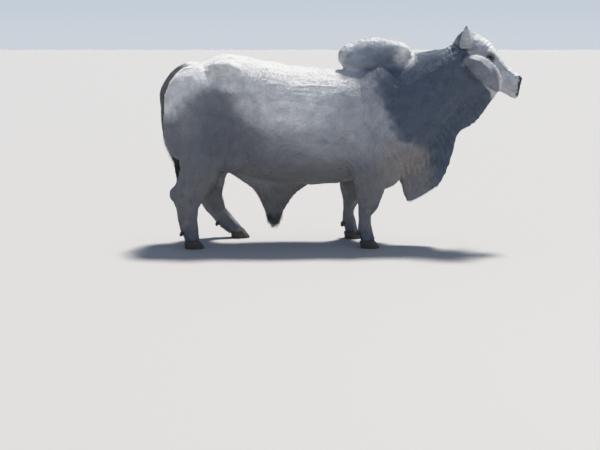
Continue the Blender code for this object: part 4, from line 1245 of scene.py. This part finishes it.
def horn(name, side, material):
    """A short thick horn with growth rings at its base and a worn dark tip."""
    rows = np.column_stack([HORN_LINE * (1, side, 1), HORN_RADII])
    line = smooth_line(rows, HORN_RINGS)
    ahead = unit(np.gradient(line[:, :3], axis=0))
    bm = bmesh.new()
    rings = []
    rises = []
    for index, (way, row) in enumerate(zip(ahead, line)):
        rise = index / (HORN_RINGS - 1)
        groove = math.sin(math.tau * HORN_GROOVES * rise**0.8) * float(ramp(np.array(rise), 0.85, 0.45))
        inset = COLLAR_INSET * float(ramp(np.array(rise), 0.36, 0.28))
        radius = row[3] * (1 + GROOVE_DEPTH * groove) - inset
        turn = Vector(way).to_track_quat("Z", "Y").to_matrix().to_4x4()
        at = HEAD @ Matrix.Translation(row[:3]) @ turn
        circle = bmesh.ops.create_circle(bm, cap_ends=False, radius=radius, segments=HORN_SIDES, matrix=at)
        rings.append(circle["verts"])
        rises += [rise] * HORN_SIDES
    loft(bm, rings)
    piece = from_bmesh(f"horn_sheath_{name}", bm)
    mesh = piece.data
    mesh.shade_smooth()
    rise = np.array(rises)
    points = read(mesh.vertices, "co", 3)
    normals = read(mesh.vertices, "normal", 3)
    points += normals * (HORN_WEAR * waves(points, 0.022, 52) * ramp(rise, 1.0, 0.9))[:, None]
    mesh.vertices.foreach_set("co", points.ravel())
    colour = np.tile(np.array((0.46, 0.46, 0.46)), (len(points), 1))
    colour = mix(colour, (0.36, 0.365, 0.375), ramp(rise, 0.52, 0.34))
    colour = mix(colour, (0.17, 0.165, 0.165), ramp(rise, 0.72, 0.97))
    bands = np.sin(math.tau * HORN_GROOVES * rise**0.8) * ramp(rise, 0.85, 0.45)
    colour *= (1 + 0.08 * bands + 0.05 * waves(points, 0.030, 53))[:, None]
    set_colours(mesh, colour)
    mesh.materials.append(material)
    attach(piece, "root")
    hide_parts(f"horn_{name}")


# Shares of the eyeball's radius
CORNEA = 0.66
CORNEA_BULGE = 0.045
IRIS = 0.58
PUPIL_HALF_LENGTH = 0.36
PUPIL_HALF_HEIGHT = 0.17


def eye(name, side, material):
    """An eyeball with a bulging cornea, a brown iris and a level, oblong pupil."""
    along, up, outward = (Vector(axis) for axis in eye_axes(side))
    turn = Matrix((along, up, outward)).transposed().to_4x4()
    at = HEAD @ Matrix.Translation(eye_place(side)) @ turn
    bm = bmesh.new()
    bmesh.ops.create_uvsphere(bm, u_segments=64, v_segments=48, radius=EYE_RADIUS)
    colours = []
    for vertex in bm.verts:
        a, b, c = vertex.co / EYE_RADIUS
        across = math.hypot(a, b)
        front = c > 0
        if front and across < CORNEA:
            vertex.co *= 1 + CORNEA_BULGE * (1 - (across / CORNEA) ** 2)
        pupil = (a / PUPIL_HALF_LENGTH) ** 2 + (b / PUPIL_HALF_HEIGHT) ** 2
        if not front or across > CORNEA:
            colours.append((0.16, 0.12, 0.10))
        elif across > IRIS:
            colours.append((0.030, 0.020, 0.015))
        elif pupil < 1:
            colours.append((0.004, 0.004, 0.006))
        else:
            colours.append((0.045, 0.022, 0.011))
    bmesh.ops.recalc_face_normals(bm, faces=bm.faces)
    bm.transform(at)
    if at.determinant() < 0:
        bmesh.ops.reverse_faces(bm, faces=bm.faces)
    piece = from_bmesh(f"eyeball_{name}", bm)
    piece.data.shade_smooth()
    set_colours(piece.data, np.array(colours))
    piece.data.materials.append(material)
    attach(piece, "root")
    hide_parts(f"eye_{name}")


def hoof_materials():
    material, nodes, links, shader = new_material("hoof_horn", 0.55)
    streaks = noise(nodes, links, object_pattern(nodes, links, (190, 190, 14)), 1.0, 5.0, 0.7)
    rings = nodes.new("ShaderNodeTexWave")
    rings.bands_direction = "Z"
    rings.inputs["Scale"].default_value = 26.0
    rings.inputs["Distortion"].default_value = 2.5
    rings.inputs["Detail"].default_value = 3.0
    links.new(object_pattern(nodes, links), rings.inputs["Vector"])
    ramp_node = nodes.new("ShaderNodeValToRGB")
    ramp_node.color_ramp.elements[0].color = (0.018, 0.016, 0.014, 1)
    ramp_node.color_ramp.elements[1].color = (0.105, 0.092, 0.078, 1)
    links.new(streaks, ramp_node.inputs["Fac"])
    links.new(ramp_node.outputs["Color"], shader.inputs["Base Color"])
    first = bump(nodes, links, rings.outputs["Fac"], 0.0016, 0.7)
    links.new(bump(nodes, links, streaks, 0.0012, 0.6, first), shader.inputs["Normal"])
    links.new(spread(nodes, links, streaks, 0.3, 0.7, 0.45, 0.7), shader.inputs["Roughness"])
    return material


HOOF_EDGE = 0.0035


def hoof(node, material):
    """A toe or dewclaw with its edges worn round."""
    bm = bmesh.new()
    bm.from_mesh(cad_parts[node].data)
    bmesh.ops.remove_doubles(bm, verts=bm.verts, dist=WELD)
    bmesh.ops.dissolve_limit(bm, angle_limit=math.radians(3), verts=bm.verts, edges=bm.edges)
    sharp = [e for e in bm.edges if e.calc_face_angle(0) > math.radians(38)]
    bmesh.ops.bevel(
        bm,
        geom=sharp,
        offset=HOOF_EDGE,
        segments=3,
        profile=0.5,
        affect="EDGES",
        material=-1,
        clamp_overlap=True,
    )
    bmesh.ops.triangulate(bm, faces=bm.faces)
    piece = from_bmesh(f"{node}_horn", bm)
    piece.data.shade_smooth()
    piece.data.set_sharp_from_angle(angle=math.radians(50))
    piece.data.materials.append(material)
    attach(piece, "root")
    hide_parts(node)


def finish_hooves():
    material = hoof_materials()
    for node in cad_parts:
        if node.startswith(("hoof", "dewclaw")):
            hoof(node, material)


# Stage


VIEW = "Standard"
FLOOR_REACH = 160
SUN_WAY = (0.18, 0.36, 0.915)  # towards the sun
# Colours of the sky, from the horizon up
SKY = (
    (0.0, (0.60, 0.65, 0.72)),
    (0.12, (0.42, 0.50, 0.65)),
    (0.45, (0.20, 0.27, 0.42)),
    (0.9, (0.16, 0.23, 0.40)),
)
# Light in the scene, and how light it is shown: a soft shoulder keeps the white coat's form
SHOULDER = (
    (0.0, 0.0),
    (0.25, 0.25),
    (0.5, 0.5),
    (0.7, 0.688),
    (0.9, 0.822),
    (1.2, 0.912),
    (1.6, 0.962),
    (2.2, 1.0),
)


def add_stage():
    bm = bmesh.new()
    bmesh.ops.create_grid(bm, x_segments=1, y_segments=1, size=FLOOR_REACH)
    floor = from_bmesh("floor", bm)
    material, _, _, _ = new_material("floor_paint", 0.85, (0.345, 0.34, 0.33))
    floor.data.materials.append(material)


def add_light(name, kind, place, aim, energy, colour, size):
    light = bpy.data.lights.new(name, kind)
    light.energy = energy
    light.color = colour
    if kind == "SUN":
        light.angle = size
    else:
        light.size = size
    lamp = bpy.data.objects.new(name, light)
    lamp.location = place
    lamp.rotation_euler = (Vector(aim) - Vector(place)).to_track_quat("-Z", "Y").to_euler()
    bpy.context.scene.collection.objects.link(lamp)


def add_sky():
    """A soft studio sky, brightest at the horizon."""
    world = bpy.data.worlds.new("studio")
    world.use_nodes = True
    nodes, links = world.node_tree.nodes, world.node_tree.links
    place = nodes.new("ShaderNodeTexCoord")
    parts = nodes.new("ShaderNodeSeparateXYZ")
    shades = nodes.new("ShaderNodeValToRGB")
    links.new(place.outputs["Generated"], parts.inputs["Vector"])
    links.new(parts.outputs["Z"], shades.inputs["Fac"])
    for at, colour in SKY:
        stop = shades.color_ramp.elements.new(at)
        stop.color = (*colour, 1)
    shades.color_ramp.elements.remove(shades.color_ramp.elements[0])
    links.new(shades.outputs["Color"], nodes["Background"].inputs["Color"])
    bpy.context.scene.world = world


def add_lights():
    add_sky()
    add_light("sun", "SUN", SUN_WAY, (0, 0, 0), 6.4, (1.0, 0.96, 0.90), math.radians(9))
    add_light("face_fill", "AREA", (3.6, -5.0, 2.6), (0.7, 0, 1.1), 30, (0.92, 0.96, 1.0), 3.0)


CAMERA_PLACE = (-0.309, -9.0, 1.60)
CAMERA_PITCH = math.radians(90 - 9.21)
CAMERA_LENS = 69.0


def add_camera():
    camera = bpy.data.cameras.new("camera")
    camera.lens = CAMERA_LENS
    camera.sensor_width = 36.0
    camera.clip_end = 200.0
    seen = bpy.data.objects.new("camera", camera)
    seen.location = CAMERA_PLACE
    seen.rotation_euler = (CAMERA_PITCH, 0, 0)
    bpy.context.scene.collection.objects.link(seen)
    bpy.context.scene.camera = seen


def unwrap_skin(skin):
    bpy.context.view_layer.objects.active = skin
    skin.select_set(True)
    bpy.ops.object.mode_set(mode="EDIT")
    bpy.ops.mesh.select_all(action="SELECT")
    bpy.ops.uv.smart_project(angle_limit=math.radians(66), island_margin=0.002)
    bpy.ops.object.mode_set(mode="OBJECT")
    skin.select_set(False)


def make_skin():
    skin = fused_flesh()
    drop_bubbles(skin)
    smooth_skin(skin)
    refine(skin, near_eye)
    refine(skin, near_muzzle)
    refine(skin, near_eye)
    sculpt(skin)
    tuck_into_horns(skin)
    open_eyes(skin)
    open_nostrils(skin)
    mesh = skin.data
    mesh.shade_smooth()
    set_colours(mesh, coat_colour(read(mesh.vertices, "co", 3)) * SKIN_SHADE)
    mesh.materials.clear()
    mesh.materials.append(skin_material())
    unwrap_skin(skin)
    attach(skin, "root")
    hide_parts(*(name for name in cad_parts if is_flesh(name)))
    return skin


def set_view():
    view = bpy.context.scene.view_settings
    view.view_transform = VIEW
    view.use_curve_mapping = True
    curves = view.curve_mapping
    reach = SHOULDER[-1][0]
    curves.white_level = (reach, reach, reach)
    whole = curves.curves[3]
    for light, shown in SHOULDER[1:-1]:
        whole.points.new(light / reach, shown)
    curves.update()


def main():
    set_view()
    add_camera()
    add_stage()
    add_lights()
    skin = make_skin()
    grow_coat(skin)
    hair = coat_material("long_hair", 0.5)
    grow_fringes(skin, hair)
    grow_lashes(hair)
    grow_switch(hair)
    horn_finish, eye_finish = horn_material(), eye_material()
    for name, side in SIDES.items():
        horn(name, side, horn_finish)
        eye(name, side, eye_finish)
    finish_hooves()


main()
